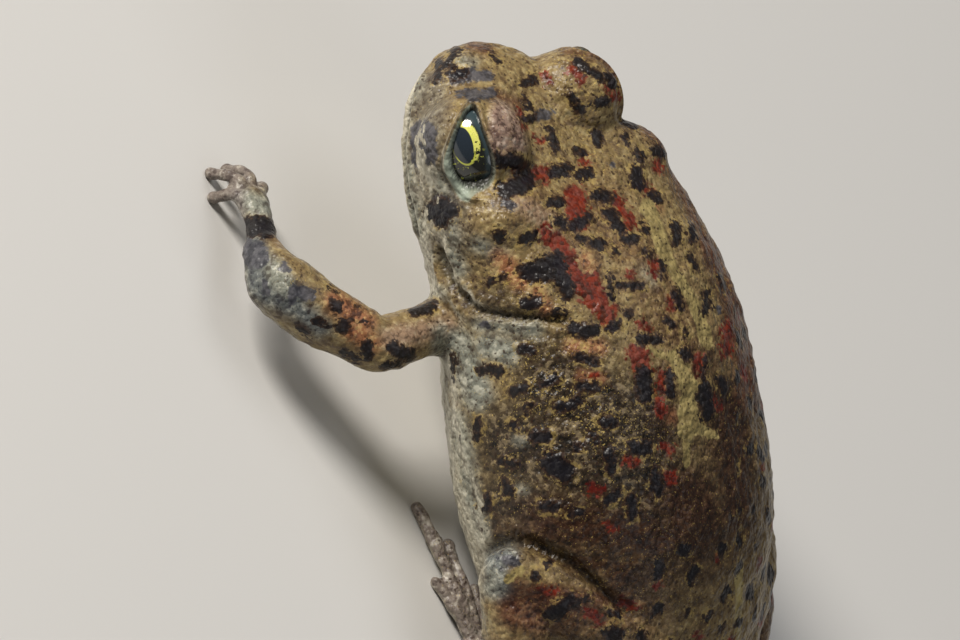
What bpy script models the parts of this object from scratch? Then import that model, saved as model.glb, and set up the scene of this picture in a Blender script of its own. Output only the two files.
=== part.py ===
"""Inyanga toad: a toadlet about 12.5 mm long, as a still model crouched on a floor.

The toad faces -Y with its left side at +X. The origin is on the floor, under the belly, at the
middle of the small flat that the belly rests on. Sizes are in millimetres until a mesh is made.
"Along" is the distance back from the tip of the snout on the straight axis of head and trunk,
"left" the distance out to the toad's left, and "up" the distance towards its back.
"""

import math

import bmesh
import bpy
import numpy as np

NAME = "inyanga_toad"
MM = 0.001

# Driving sizes of the whole animal
BODY_LENGTH = 12.5
BODY_PITCH = math.radians(10.0)
REST_ALONG = 8.8
AXIS_HEIGHT = 2.12
GAP = 0.1

# Head and trunk: along, half width, top, bottom
TRUNK_PROFILE = [
    (0.0, 0.0, -0.10, -0.10),
    (0.5, 1.20, 0.62, -0.90),
    (1.2, 1.62, 0.95, -1.20),
    (2.0, 1.98, 1.20, -1.38),
    (3.0, 2.40, 1.65, -1.36),
    (4.0, 2.80, 2.05, -1.50),
    (5.2, 3.08, 2.29, -1.94),
    (6.4, 3.22, 2.33, -2.14),
    (7.6, 3.26, 2.22, -2.21),
    (8.8, 3.06, 2.02, -2.20),
    (10.0, 2.62, 1.56, -2.02),
    (11.2, 1.90, 0.98, -1.58),
    (12.1, 1.08, 0.34, -1.04),
    (BODY_LENGTH, 0.0, -0.30, -0.30),
]
TRUNK_SQUARENESS = 2.3
# The spine swings this far to the toad's right between these distances, and the head rolls left
SIDE_BEND = -0.4
BEND_FROM, BEND_TO = 1.2, 8.2
HEAD_ROLL = math.radians(-6.0)
ROLL_FROM, ROLL_TO = 5.5, 2.8
TRUNK_RINGS = 44
TRUNK_SIDES = 40
# The prisms that part the trunk reach this far out to each side
PRISM_HALF_WIDTH = 6.0

# Mouth and the cut behind the lower jaw: along, up
MOUTH_LINE = [(-0.6, -0.52), (0.2, -0.50), (1.0, -0.58), (1.8, -0.66), (2.6, -0.62), (2.95, -0.70)]
JAW_BACK = [(3.05, -1.1), (2.85, -1.9), (2.75, -2.6)]
NECK_CUT = [(3.55, 3.0), (3.72, 0.4), (3.62, -0.8), (3.35, -3.0)]
LIP_RADIUS = 0.075
LIP_END = 2.75
LIP_POINTS = 21
LIP_SUNK = 0.03

# Eyes: EYE_LOOKS is outward and EYE_SLANT backward. The lids' opening has its middle this far back
# and up from where the eye looks, these half sizes, and its front end turned up.
EYE_AT = (1.52, 1.34, 0.62)
EYE_RADIUS = 0.80
EYE_GAP = 0.04
EYE_LOOKS = (-0.10, 0.93, 0.34)
EYE_SLANT = (1.0, 0.0, -0.05)
LID_THICKNESS = 0.07
OPENING_AT = (-0.02, 0.13)
OPENING_HALF = (0.70, 0.33)
OPENING_TURN = math.radians(-12.0)
LID_RIM_RADIUS = 0.06
LID_RIM_SUNK = 0.02
RIM_POINTS = 18
OPENING_DEPTH = 0.27
NOSTRIL_AT = (0.30, 0.46, 0.28)
NOSTRIL_RADIUS = 0.09

# Gland behind the eye, shoulder and brow: along, left, up, radius, height, on both sides
SWELLINGS = [
    (2.60, 1.85, 0.85, 1.00, 0.56),
    (3.85, 1.95, 0.95, 0.60, 0.10),
    (0.95, 0.80, 0.72, 0.50, 0.07),
]
HILL_FALL = 1.6

# Limbs of the left side: x, y, z and the radius there
SHOULDER = (1.45, -4.65, 2.15, 0.52)
UPPER_ARM = (2.45, -4.78, 1.98, 0.44)
ELBOW = (3.42, -4.90, 1.70, 0.45)
FOREARM = [(3.74, -5.43, 1.50, 0.50), (4.06, -6.03, 1.26, 0.55), (4.24, -6.68, 1.08, 0.52)]
WRIST = (4.02, -7.12, 0.93, 0.35)
HAND = [(3.90, -7.22, 0.90, 0.28), (3.55, -7.58, 0.80, 0.27), (3.18, -7.98, 0.62, 0.32)]
HAND_FLATNESS = 0.75
FINGERS = [
    # root from the middle of the knuckles, tip x, tip y
    (-0.24, -0.06, 2.42, -8.18),
    (-0.10, -0.10, 2.66, -8.66),
    (0.06, -0.08, 3.10, -8.72),
    (0.20, -0.00, 3.36, -8.34),
]
FINGER_RADII = (0.13, 0.10)
FINGER_ARCH = 0.22
HIP = (0.95, 2.00, 2.00, 0.80)
THIGH = [(2.10, 0.95, 2.15, 0.88), (3.00, 0.02, 2.12, 0.68)]
KNEE = (3.55, -0.55, 2.02, 0.50)
SHANK_TOP = (3.56, -0.48, 1.84, 0.45)
SHANK = [(3.55, 0.58, 1.48, 0.56), (3.34, 1.80, 1.10, 0.50)]
HEEL = (2.95, 2.95, 0.60, 0.30)
TARSUS = (3.02, 2.15, 0.42, 0.25)
ANKLE = (3.05, 1.35, 0.32, 0.25)
SOLE = [(3.00, 0.85, 0.26, 0.30), (2.85, 0.30, 0.20, 0.28)]
FOOT_FLATNESS = 0.7
TOES = [
    # root along the sole (0 ankle, 1 ball), tip x, tip y
    (0.35, 2.28, 0.42),
    (0.60, 1.98, -0.52),
    (0.85, 2.05, -1.38),
    (1.00, 2.34, -2.20),
    (0.85, 2.86, -0.95),
]
TOE_RADII = (0.145, 0.095)
TOE_ARCH = 0.05
TIP_HEIGHT = 0.08
RIGHT_HAND_SHIFT = (0.10, 1.15)
RIGHT_FOOT_SHIFT = (0.0, 0.25)
# How much of a hand's shift its elbow and the middle of its upper arm take
ELBOW_SHARE, UPPER_ARM_SHARE = 0.8, 0.4

LIMB_SIDES = 14
DIGIT_SIDES = 8
LIMB_STEP, SOLE_STEP, PALM_STEP, DIGIT_STEP = 0.3, 0.25, 0.2, 0.28
CAP_TURNS = np.radians([25.0, 55.0])

SAME_POINT = 1e-7
TINY = 1e-9

WORKSHOP = bpy.data.collections.new("cutters")

BACK_COLOUR = (0.33, 0.29, 0.16)
THROAT_COLOUR = (0.62, 0.60, 0.48)
EYE_COLOUR = (0.05, 0.07, 0.05)


def smooth_through(knots, values, at):
    """A cubic through the knots whose slope at each is that of the line between its neighbours."""
    knots, values, at = (np.asarray(a, float) for a in (knots, values, at))
    values = values.reshape(len(knots), -1)
    step = np.diff(knots)[:, None]
    chord = np.diff(values, axis=0) / step
    slope = np.empty_like(values)
    slope[0], slope[-1] = chord[0], chord[-1]
    slope[1:-1] = (chord[:-1] * step[1:] + chord[1:] * step[:-1]) / (step[:-1] + step[1:])
    i = np.clip(np.searchsorted(knots, at, side="right") - 1, 0, len(knots) - 2)
    u = ((at - knots[i]) / np.diff(knots)[i])[:, None]
    h = step[i]
    return (
        (2 * u**3 - 3 * u**2 + 1) * values[i]
        + (u**3 - 2 * u**2 + u) * h * slope[i]
        + (3 * u**2 - 2 * u**3) * values[i + 1]
        + (u**3 - u**2) * h * slope[i + 1]
    )


def ease(share):
    """0 before 0, 1 after 1, and a smooth step between."""
    share = np.clip(share, 0.0, 1.0)
    return share * share * (3 - 2 * share)


def body_point(along, left, up):
    """Millimetres in the world of points given by their place in the straight body."""
    along, left, up = np.broadcast_arrays(np.asarray(along, float), left, up)
    ahead = REST_ALONG - along
    roll = HEAD_ROLL * ease((along - ROLL_FROM) / (ROLL_TO - ROLL_FROM))
    bend = SIDE_BEND * np.sin(math.pi * ((along - BEND_FROM) / (BEND_TO - BEND_FROM)).clip(0, 1)) ** 2
    left, up = left * np.cos(roll) - up * np.sin(roll) + bend, left * np.sin(roll) + up * np.cos(roll)
    y = -ahead * math.cos(BODY_PITCH) + up * math.sin(BODY_PITCH)
    z = AXIS_HEIGHT + ahead * math.sin(BODY_PITCH) + up * math.cos(BODY_PITCH)
    return np.stack([left, y, z], -1)


def trunk_section(along):
    """Half width, middle height and half height of the body at these distances from the snout."""
    along_k, half, top, bottom = np.array(TRUNK_PROFILE).T
    squares = np.stack([half**2, ((top - bottom) / 2) ** 2, (top + bottom) / 2], 1)
    width2, height2, middle = smooth_through(along_k, squares, along).T
    return np.sqrt(width2.clip(0)), middle, np.sqrt(height2.clip(0))


def swelling(along, left, up):
    """How far glands and brows raise the skin: a sum of bells about the swellings' middles."""
    rise = 0.0
    for a, l, u, radius, height in SWELLINGS:
        away = (along - a) ** 2 + (np.abs(left) - l) ** 2 + (up - u) ** 2
        rise = rise + height * np.exp(-away / radius**2 * HILL_FALL)
    return rise


def trunk_grid(grow=0.0):
    """Rings of superellipses along the body, closer together at both ends, raised by the glands."""
    s = np.linspace(0, math.pi, TRUNK_RINGS + 2)[1:-1]
    along = (BODY_LENGTH * (1 - np.cos(s)) / 2)[:, None]
    half, middle, height = (v[:, None] for v in trunk_section(along.ravel()))
    turn = np.linspace(0, 2 * math.pi, TRUNK_SIDES, endpoint=False)[None, :]
    power = 2 / TRUNK_SQUARENESS
    left = half * np.sign(np.cos(turn)) * np.abs(np.cos(turn)) ** power
    up = middle + height * np.sign(np.sin(turn)) * np.abs(np.sin(turn)) ** power
    away = np.stack([left / (half**2 + TINY), (up - middle) / (height**2 + TINY)], -1)
    away /= np.linalg.norm(away, axis=-1, keepdims=True) + TINY
    out = grow + swelling(along, left, up)
    left = left + away[..., 0] * out
    up = up + away[..., 1] * out
    stretch = 1 + 2 * grow / BODY_LENGTH
    middle_along = BODY_LENGTH / 2
    return body_point(middle_along + (along - middle_along) * stretch, left, up)


def grid_mesh(name, rings, first, last):
    """A closed mesh from rings of points and the two poles that close its ends."""
    count, sides = rings.shape[:2]
    points = np.concatenate([rings.reshape(-1, 3), [first, last]]) * MM
    mesh = bmesh.new()
    verts = [mesh.verts.new(p) for p in points]
    for i in range(count - 1):
        for j in range(sides):
            k = (j + 1) % sides
            a, b = i * sides, (i + 1) * sides
            mesh.faces.new([verts[a + j], verts[b + j], verts[b + k], verts[a + k]])
    for j in range(sides):
        k = (j + 1) % sides
        mesh.faces.new([verts[-2], verts[j], verts[k]])
        mesh.faces.new([verts[-1], verts[(count - 1) * sides + k], verts[(count - 1) * sides + j]])
    bmesh.ops.recalc_face_normals(mesh, faces=mesh.faces)
    return mesh_object(name, mesh)


def mesh_object(name, mesh):
    """The bmesh as a smooth-shaded object in the workshop, its units already metres."""
    bmesh.ops.triangulate(mesh, faces=mesh.faces)
    data = bpy.data.meshes.new(name)
    mesh.to_mesh(data)
    mesh.free()
    data.shade_smooth()
    thing = bpy.data.objects.new(name, data)
    WORKSHOP.objects.link(thing)
    return thing


def trunk(name, grow=0.0):
    """Head and trunk as one closed form."""
    first = body_point(-grow, 0.0, TRUNK_PROFILE[0][2])
    last = body_point(BODY_LENGTH + grow, 0.0, TRUNK_PROFILE[-1][2])
    return grid_mesh(name, trunk_grid(grow), first, last)


def limb(name, stations, sides=LIMB_SIDES, grow=0.0, step=LIMB_STEP, flat=1.0):
    """A rounded tube through stations (x, y, z, radius); flat is its height over its width."""
    stations = np.asarray(stations, float)
    length = np.concatenate([[0], np.cumsum(np.linalg.norm(np.diff(stations[:, :3], axis=0), axis=1))])
    count = max(4, int(length[-1] / step))
    at = np.linspace(0, length[-1], count)
    line = smooth_through(length, stations, at)
    path, radius = line[:, :3], line[:, 3] + grow
    ahead = np.gradient(path, axis=0)
    ahead /= np.linalg.norm(ahead, axis=1, keepdims=True)
    side = np.cross(ahead, (0.0, 0.0, 1.0))
    side /= np.linalg.norm(side, axis=1, keepdims=True)
    over = np.cross(side, ahead)
    turn = np.linspace(0, 2 * math.pi, sides, endpoint=False)

    def ring(centre, i, scale):
        wide = side[i] * (radius[i] * scale)
        high = over[i] * (radius[i] * scale * flat)
        return centre + np.cos(turn)[:, None] * wide + np.sin(turn)[:, None] * high

    start, end = ahead[0] * radius[0], ahead[-1] * radius[-1]
    rings = [ring(path[0] - start * math.cos(c), 0, math.sin(c)) for c in CAP_TURNS]
    rings += [ring(path[i], i, 1.0) for i in range(count)]
    rings += [ring(path[-1] + end * math.cos(c), -1, math.sin(c)) for c in CAP_TURNS[::-1]]
    return grid_mesh(name, np.array(rings), path[0] - start, path[-1] + end)


def ball(name, centre, radius, segments, rings):
    """A sphere about a place in the world."""
    mesh = bmesh.new()
    bmesh.ops.create_uvsphere(mesh, u_segments=segments, v_segments=rings, radius=radius * MM)
    bmesh.ops.translate(mesh, vec=centre * MM, verts=mesh.verts)
    return mesh_object(name, mesh)


def discard(thing):
    """Removes an object and its mesh."""
    data = thing.data
    bpy.data.objects.remove(thing)
    bpy.data.meshes.remove(data)


def shells_of(mesh):
    """The vertices of each separate surface of a bmesh."""
    left, shells = set(mesh.verts), []
    while left:
        shell, wave = set(), {left.pop()}
        while wave:
            shell |= wave
            wave = {edge.other_vert(v) for v in wave for edge in v.link_edges} - shell
        left -= shell
        shells.append(shell)
    return shells


def volume_of(shell):
    """Signed volume of a shell: the sum of the tetrahedra from the origin to its triangles."""
    faces = {face for vert in shell for face in vert.link_faces}
    corners = ([v.co for v in face.verts] for face in faces)
    return sum(a.dot(b.cross(c)) for a, b, c in corners) / 6


def keep_largest(thing):
    """Only the closed surface with the most volume stays, as triangles."""
    mesh = bmesh.new()
    mesh.from_mesh(thing.data)
    bmesh.ops.triangulate(mesh, faces=mesh.faces)
    best = max(shells_of(mesh), key=volume_of)
    bmesh.ops.delete(mesh, geom=[v for v in mesh.verts if v not in best], context="VERTS")
    bmesh.ops.dissolve_degenerate(mesh, dist=SAME_POINT, edges=mesh.edges)
    bmesh.ops.triangulate(mesh, faces=mesh.faces)
    mesh.to_mesh(thing.data)
    mesh.free()


def combine(target, others, operation):
    """An exact Boolean of the target with each of the others, applied, and the others removed."""
    for other in others:
        change = target.modifiers.new(operation.lower(), "BOOLEAN")
        change.operation = operation
        change.object = other
        change.solver = "EXACT"
        graph = bpy.context.evaluated_depsgraph_get()
        shape = bpy.data.meshes.new_from_object(target.evaluated_get(graph))
        target.modifiers.clear()
        old = target.data
        target.data = shape
        bpy.data.meshes.remove(old)
        discard(other)
    keep_largest(target)
    return target


def copy_of(thing, name):
    """A twin of the object with a mesh of its own."""
    twin = bpy.data.objects.new(name, thing.data.copy())
    WORKSHOP.objects.link(twin)
    return twin


def floor_cutter():
    """A block under the floor, wider than the toad, that leaves flats where the toad rests."""
    size = 3 * BODY_LENGTH
    mesh = bmesh.new()
    bmesh.ops.create_cube(mesh, size=size * MM)
    bmesh.ops.translate(mesh, vec=(0, 0, -size / 2 * MM), verts=mesh.verts)
    return mesh_object("floor_cutter", mesh)


def side_profile_cutter(name, outline):
    """A prism across the whole body from an outline of (along, up) points."""
    mesh = bmesh.new()
    sides = (-PRISM_HALF_WIDTH, PRISM_HALF_WIDTH)
    rows = [[mesh.verts.new(body_point(a, left, u) * MM) for a, u in outline] for left in sides]
    mesh.faces.new(rows[0])
    mesh.faces.new(rows[1][::-1])
    for i in range(len(outline)):
        j = (i + 1) % len(outline)
        mesh.faces.new([rows[0][i], rows[1][i], rows[1][j], rows[0][j]])
    bmesh.ops.recalc_face_normals(mesh, faces=mesh.faces)
    return mesh_object(name, mesh)


def smooth_line(points, count):
    """Evenly spaced points on a smooth curve through these points."""
    points = np.asarray(points, float)
    at = np.concatenate([[0], np.cumsum(np.linalg.norm(np.diff(points, axis=0), axis=1))])
    return smooth_through(at, points, np.linspace(0, at[-1], count))


def offset_line(line, by):
    """The (along, up) line moved to its left by this much, as seen along it with up to the left."""
    ahead = np.gradient(line, axis=0)
    ahead /= np.linalg.norm(ahead, axis=1, keepdims=True)
    return line + np.stack([-ahead[:, 1], ahead[:, 0]], 1) * by


def part_head_from_trunk():
    """The whole form, parted into torso, head and lower jaw by thin cuts."""
    neck = smooth_line(NECK_CUT, 10)
    mouth = smooth_line(MOUTH_LINE + JAW_BACK, 22)
    ahead = [*offset_line(neck, GAP / 2), (-3.0, -3.0), (-3.0, 3.0)]
    behind = [*offset_line(neck, -GAP / 2), (15.0, -3.0), (15.0, 3.0)]
    below = [*offset_line(mouth, GAP / 2), (-3.0, -3.5)]
    above = [*offset_line(mouth, -GAP / 2), (6.0, -4.0), (6.0, 4.0), (-3.0, 4.0)]
    torso = combine(trunk("torso"), [side_profile_cutter("ahead", ahead), floor_cutter()], "DIFFERENCE")
    head = combine(trunk("head"), [side_profile_cutter("behind", behind)], "DIFFERENCE")
    jaw = combine(copy_of(head, "lower_jaw"), [side_profile_cutter("above", above)], "DIFFERENCE")
    combine(head, [side_profile_cutter("below", below)], "DIFFERENCE")
    return torso, head, jaw


def wire(name, points, radius, closed):
    """A round bead along these points, as a mesh."""
    curve = bpy.data.curves.new(name, "CURVE")
    curve.dimensions = "3D"
    curve.bevel_depth = radius * MM
    curve.bevel_resolution = 1
    curve.use_fill_caps = not closed
    spline = curve.splines.new("POLY")
    spline.points.add(len(points) - 1)
    spline.use_cyclic_u = closed
    for spot, place in zip(spline.points, points):
        spot.co = (*(np.asarray(place) * MM), 1.0)
    guide = bpy.data.objects.new(name, curve)
    WORKSHOP.objects.link(guide)
    shape = bpy.data.meshes.new_from_object(guide.evaluated_get(bpy.context.evaluated_depsgraph_get()))
    bpy.data.objects.remove(guide)
    bpy.data.curves.remove(curve)
    mesh = bmesh.new()
    mesh.from_mesh(shape)
    bpy.data.meshes.remove(shape)
    bmesh.ops.remove_doubles(mesh, verts=mesh.verts, dist=SAME_POINT)
    bmesh.ops.recalc_face_normals(mesh, faces=mesh.faces)
    return mesh_object(name, mesh)


def lip_path(lift):
    """Along the head's surface a little above or below the mouth line, from corner to corner."""
    line_along, line_up = np.array(MOUTH_LINE).T
    reach = np.linspace(0.0, LIP_END, 200)
    up = smooth_through(line_along, line_up, reach)[:, 0] + lift
    half, middle, height = trunk_section(reach)
    inside = np.abs(up - middle) < height
    start = reach[inside][0]
    v = np.linspace(-1.0, 1.0, LIP_POINTS)
    along = start + (LIP_END - start) * v**2
    up = smooth_through(line_along, line_up, along)[:, 0] + lift
    half, middle, height = trunk_section(along)
    share = (np.abs(up - middle) / height).clip(0, 1)
    left = np.sign(v) * half * (1 - share**TRUNK_SQUARENESS) ** (1 / TRUNK_SQUARENESS)
    return body_point(along + LIP_SUNK, left * (1 - LIP_SUNK / 2), up)


def eye_frame(side):
    """Centre of the eyeball and its outward, backward and upward directions, in body places."""
    along, left, up = EYE_AT
    out = np.array([EYE_LOOKS[0], side * EYE_LOOKS[1], EYE_LOOKS[2]])
    out /= np.linalg.norm(out)
    back = np.array(EYE_SLANT) * (1, side, 1)
    back -= out * (back @ out)
    back /= np.linalg.norm(back)
    over = np.cross(back, out)
    over *= np.sign(over[2])
    return np.array([along, side * left, up]), out, back, over


def to_world(places):
    """World places of an array of (along, left, up) points."""
    return body_point(*np.moveaxis(np.asarray(places, float), -1, 0))


def eye_ball(name, side, radius):
    """A ball about the eye's centre: the eye itself, its socket or its lids."""
    return ball(name, to_world(eye_frame(side)[0]), radius, 18, 12)


def opening_ring(side, radius):
    """Where the lids end: a turned oval, laid on a ball of this radius round the eye's centre."""
    centre, out, back, over = eye_frame(side)
    turn = np.linspace(0, 2 * math.pi, RIM_POINTS, endpoint=False)[:, None]
    longways = back * math.cos(OPENING_TURN) + over * math.sin(OPENING_TURN)
    highways = over * math.cos(OPENING_TURN) - back * math.sin(OPENING_TURN)
    flat = back * OPENING_AT[0] + over * OPENING_AT[1]
    flat = flat + longways * np.cos(turn) * OPENING_HALF[0] + highways * np.sin(turn) * OPENING_HALF[1]
    depth = np.sqrt(radius**2 - (flat**2).sum(1, keepdims=True))
    return to_world(centre + flat + out * depth)


def opening_cutter(side, radius):
    """A straight oval column that opens the lids, from just inside the socket to well outside."""
    centre, out, _, _ = eye_frame(side)
    outward = to_world(centre + out) - to_world(centre)
    ring = opening_ring(side, radius)
    column = np.array([ring - outward * OPENING_DEPTH, ring + outward * radius])
    return grid_mesh("opening", column, column[0].mean(0), column[1].mean(0))


def open_eye(head, side):
    """A bulging lid over the eyeball, its socket, its opening and the rims of both lids."""
    outer = EYE_RADIUS + EYE_GAP + LID_THICKNESS
    combine(head, [eye_ball("lid", side, outer)], "UNION")
    socket = eye_ball("socket", side, EYE_RADIUS + EYE_GAP)
    combine(head, [socket, opening_cutter(side, outer)], "DIFFERENCE")
    rim = wire("rim", opening_ring(side, outer - LID_RIM_SUNK), LID_RIM_RADIUS, True)
    combine(head, [rim], "UNION")


def placed(stations, side, shift=(0.0, 0.0)):
    """Stations of the left side as they lie on this side, moved over the floor by shift."""
    stations = np.atleast_2d(np.asarray(stations, float)) * (side, 1, 1, 1)
    return stations + (side * shift[0], shift[1], 0, 0)


def digits(word, roots, tips, radii, arch):
    """One tapered finger or toe from each root to each tip on the floor, arched in between."""
    made = []
    for i, (root, tip) in enumerate(zip(roots, tips)):
        middle = root * 0.45 + tip * 0.55 + (0.0, 0.0, arch)
        line = [(*root, radii[0]), (*middle, (radii[0] + radii[1]) / 2), (*tip, radii[1])]
        made.append(limb(f"{word}_{i}", line, DIGIT_SIDES, step=DIGIT_STEP))
    return made


def fore_limb(side, shift):
    """Upper arm, forearm and hand of one side; shift moves the hand over the floor."""
    word = "l" if side > 0 else "r"
    elbow = placed(ELBOW, side, np.multiply(shift, ELBOW_SHARE))
    middle = placed(UPPER_ARM, side, np.multiply(shift, UPPER_ARM_SHARE))
    upper = np.concatenate([placed(SHOULDER, side), middle, elbow])
    fore = np.concatenate([elbow, placed(FOREARM, side, shift), placed(WRIST, side, shift)])
    palm = placed(HAND, side, shift)
    upper_arm = limb(f"upper_arm_{word}", upper)
    combine(upper_arm, [trunk("body_cut", GAP)], "DIFFERENCE")
    forearm = limb(f"forearm_{word}", fore)
    combine(forearm, [limb("arm_cut", upper, grow=GAP), trunk("body_cut", GAP)], "DIFFERENCE")
    knuckles = palm[-1, :3]
    roots = [knuckles + (side * x, y, 0.0) for x, y, _, _ in FINGERS]
    tips = [placed((x, y, TIP_HEIGHT, 0), side, shift)[0, :3] for _, _, x, y in FINGERS]
    hand = limb(f"hand_{word}", palm, flat=HAND_FLATNESS, step=PALM_STEP)
    combine(hand, digits("finger", roots, tips, FINGER_RADII, FINGER_ARCH), "UNION")
    combine(hand, [limb("fore_cut", fore, grow=GAP), floor_cutter()], "DIFFERENCE")
    return upper_arm, forearm, hand


def hind_limb(side, shift):
    """Thigh, shank, tarsus and foot of one side; shift moves the foot over the floor."""
    word = "l" if side > 0 else "r"
    thigh_line = placed([HIP, *THIGH, KNEE], side)
    knee_end, heel_end = placed([SHANK_TOP, SHANK[0]], side), placed([SHANK[1], HEEL], side, shift)
    shank_line = np.concatenate([knee_end, heel_end])
    tarsus_line = placed([HEEL, TARSUS, ANKLE], side, shift)
    sole = placed([ANKLE, *SOLE], side, shift)
    thigh = combine(limb(f"thigh_{word}", thigh_line), [trunk("body_cut", GAP)], "DIFFERENCE")
    shank = limb(f"shank_{word}", shank_line)
    combine(shank, [limb("thigh_cut", thigh_line, grow=GAP), trunk("body_cut", GAP)], "DIFFERENCE")
    tarsus = limb(f"tarsus_{word}", tarsus_line)
    combine(tarsus, [limb("shank_cut", shank_line, grow=GAP), floor_cutter()], "DIFFERENCE")
    foot = limb(f"foot_{word}", sole, flat=FOOT_FLATNESS, step=SOLE_STEP)
    roots = [sole[0, :3] * (1 - share) + sole[-1, :3] * share for share, _, _ in TOES]
    tips = [placed((x, y, TIP_HEIGHT, 0), side, shift)[0, :3] for _, x, y in TOES]
    combine(foot, digits("toe", roots, tips, TOE_RADII, TOE_ARCH), "UNION")
    tarsus_cut = limb("tarsus_cut", tarsus_line, grow=GAP)
    combine(foot, [tarsus_cut, trunk("body_cut", GAP), floor_cutter()], "DIFFERENCE")
    return thigh, shank, tarsus, foot


def material(name, colour, roughness):
    """A plain finish of one colour."""
    finish = bpy.data.materials.new(name)
    finish.use_nodes = True
    shader = finish.node_tree.nodes["Principled BSDF"]
    shader.inputs["Base Color"].default_value = (*colour, 1.0)
    shader.inputs["Roughness"].default_value = roughness
    finish.diffuse_color = (*colour, 1.0)
    return finish


def add_nostrils(head):
    """A round pit on each side of the snout."""
    along, left, up = NOSTRIL_AT
    places = [body_point(along, side * left, up) for side in (1, -1)]
    pits = [ball("nostril", place, NOSTRIL_RADIUS, 10, 8) for place in places]
    combine(head, pits, "DIFFERENCE")


def add_lip(jaw, way):
    """A bead along the edge of the mouth, above its line for way 1 and below it for way -1."""
    combine(jaw, [wire("lip", lip_path(way * (GAP / 2 + LIP_RADIUS)), LIP_RADIUS, False)], "UNION")


def main():
    """Clears the file, models every piece and gives each its finish."""
    for thing in list(bpy.data.objects):
        bpy.data.objects.remove(thing)
    bpy.context.scene.collection.children.link(WORKSHOP)
    torso, head, jaw = part_head_from_trunk()
    for side in (1, -1):
        open_eye(head, side)
    add_nostrils(head)
    add_lip(head, 1)
    add_lip(jaw, -1)
    eyes = [eye_ball("eye_l", 1, EYE_RADIUS), eye_ball("eye_r", -1, EYE_RADIUS)]
    limbs = [*fore_limb(1, (0.0, 0.0)), *fore_limb(-1, RIGHT_HAND_SHIFT)]
    limbs += [*hind_limb(1, (0.0, 0.0)), *hind_limb(-1, RIGHT_FOOT_SHIFT)]
    model = bpy.data.collections.new(NAME)
    bpy.context.scene.collection.children.link(model)
    back = material("back_skin", BACK_COLOUR, 0.5)
    pale = material("throat_skin", THROAT_COLOUR, 0.5)
    wet = material("eye", EYE_COLOUR, 0.08)
    finishes = [(wet, eyes), (pale, [jaw]), (back, [torso, head, *limbs])]
    for finish, things in finishes:
        for thing in things:
            WORKSHOP.objects.unlink(thing)
            model.objects.link(thing)
            thing.data.materials.append(finish)


main()
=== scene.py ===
"""Inyanga toad, the looks: one damp, warty skin over the whole toadlet, and its two eyes.

Places are in millimetres until a mesh is made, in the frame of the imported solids: the toad faces
-Y, its left side is at +X and the floor is at 0. "Along" is the distance back from the tip of the
snout on the straight axis of the body, "left" the distance out to its left, and "up" the distance
towards its back. A picture place is (x, y) in the 960 by 640 photo, x to the right and y down.
"""

import math
from functools import reduce

import bmesh
import bpy
import numpy as np
from mathutils import Matrix


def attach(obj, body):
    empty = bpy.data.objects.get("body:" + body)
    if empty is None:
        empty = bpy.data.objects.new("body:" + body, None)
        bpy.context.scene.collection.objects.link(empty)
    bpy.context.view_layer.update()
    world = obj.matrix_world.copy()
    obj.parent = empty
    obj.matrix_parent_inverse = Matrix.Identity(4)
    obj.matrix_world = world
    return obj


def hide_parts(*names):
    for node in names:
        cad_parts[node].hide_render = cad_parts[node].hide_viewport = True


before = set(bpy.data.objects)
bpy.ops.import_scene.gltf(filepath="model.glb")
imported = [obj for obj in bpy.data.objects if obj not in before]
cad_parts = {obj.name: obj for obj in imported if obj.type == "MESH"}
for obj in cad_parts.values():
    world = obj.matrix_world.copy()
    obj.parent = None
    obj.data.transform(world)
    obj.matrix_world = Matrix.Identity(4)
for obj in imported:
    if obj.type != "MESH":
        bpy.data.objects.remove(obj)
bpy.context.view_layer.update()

MM = 0.001

# The photo's view of the toad
PIXELS_PER_MM = 60.0
SNOUT_PIXEL = (458.0, 46.0)
PICTURE_MIDDLE = (480.0, 320.0)
PICTURE_WIDTH = 960.0
TOWARDS_CAMERA = (0.821, -0.017, 0.571)
PICTURE_UP = (-0.278, -0.885, 0.374)
CAMERA_DISTANCE = 180.0
SENSOR_WIDTH = 36.0

# The body: the same driving sizes as the solids
BODY_LENGTH = 12.5
BODY_PITCH = math.radians(10.0)
REST_ALONG = 8.8
AXIS_HEIGHT = 2.12
TRUNK_PROFILE = [
    # along, half width, top, bottom
    (0.0, 0.0, -0.10, -0.10),
    (0.5, 1.20, 0.62, -0.90),
    (1.2, 1.62, 0.95, -1.20),
    (2.0, 1.98, 1.20, -1.38),
    (3.0, 2.40, 1.65, -1.36),
    (4.0, 2.80, 2.05, -1.50),
    (5.2, 3.08, 2.29, -1.94),
    (6.4, 3.22, 2.33, -2.14),
    (7.6, 3.26, 2.22, -2.21),
    (8.8, 3.06, 2.02, -2.20),
    (10.0, 2.62, 1.56, -2.02),
    (11.2, 1.90, 0.98, -1.58),
    (12.1, 1.08, 0.34, -1.04),
    (BODY_LENGTH, 0.0, -0.30, -0.30),
]
TRUNK_SQUARENESS = 2.3
SIDE_BEND = -0.4
BEND_FROM, BEND_TO = 1.2, 8.2
HEAD_ROLL = math.radians(-6.0)
ROLL_FROM, ROLL_TO = 5.5, 2.8
# Gland behind the eye, shoulder and brow: along, left, up, radius, height, on both sides
SWELLINGS = [
    (2.60, 1.85, 0.85, 1.00, 0.56),
    (3.85, 1.95, 0.95, 0.60, 0.10),
    (0.95, 0.80, 0.72, 0.50, 0.07),
]
HILL_FALL = 1.6

MOUTH_LINE = [(-0.6, -0.52), (0.2, -0.50), (1.0, -0.58), (1.8, -0.66), (2.6, -0.62), (2.95, -0.70)]
MOUTH_END = 2.8
NOSTRIL_AT = (0.30, 0.46, 0.28)
EYE_AT = (1.52, 1.34, 0.62)
EYE_RADIUS = 0.80
LID_RADIUS = 0.91
EYE_LOOKS = (-0.10, 0.93, 0.34)
EYE_SLANT = (1.0, 0.0, -0.05)
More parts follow.
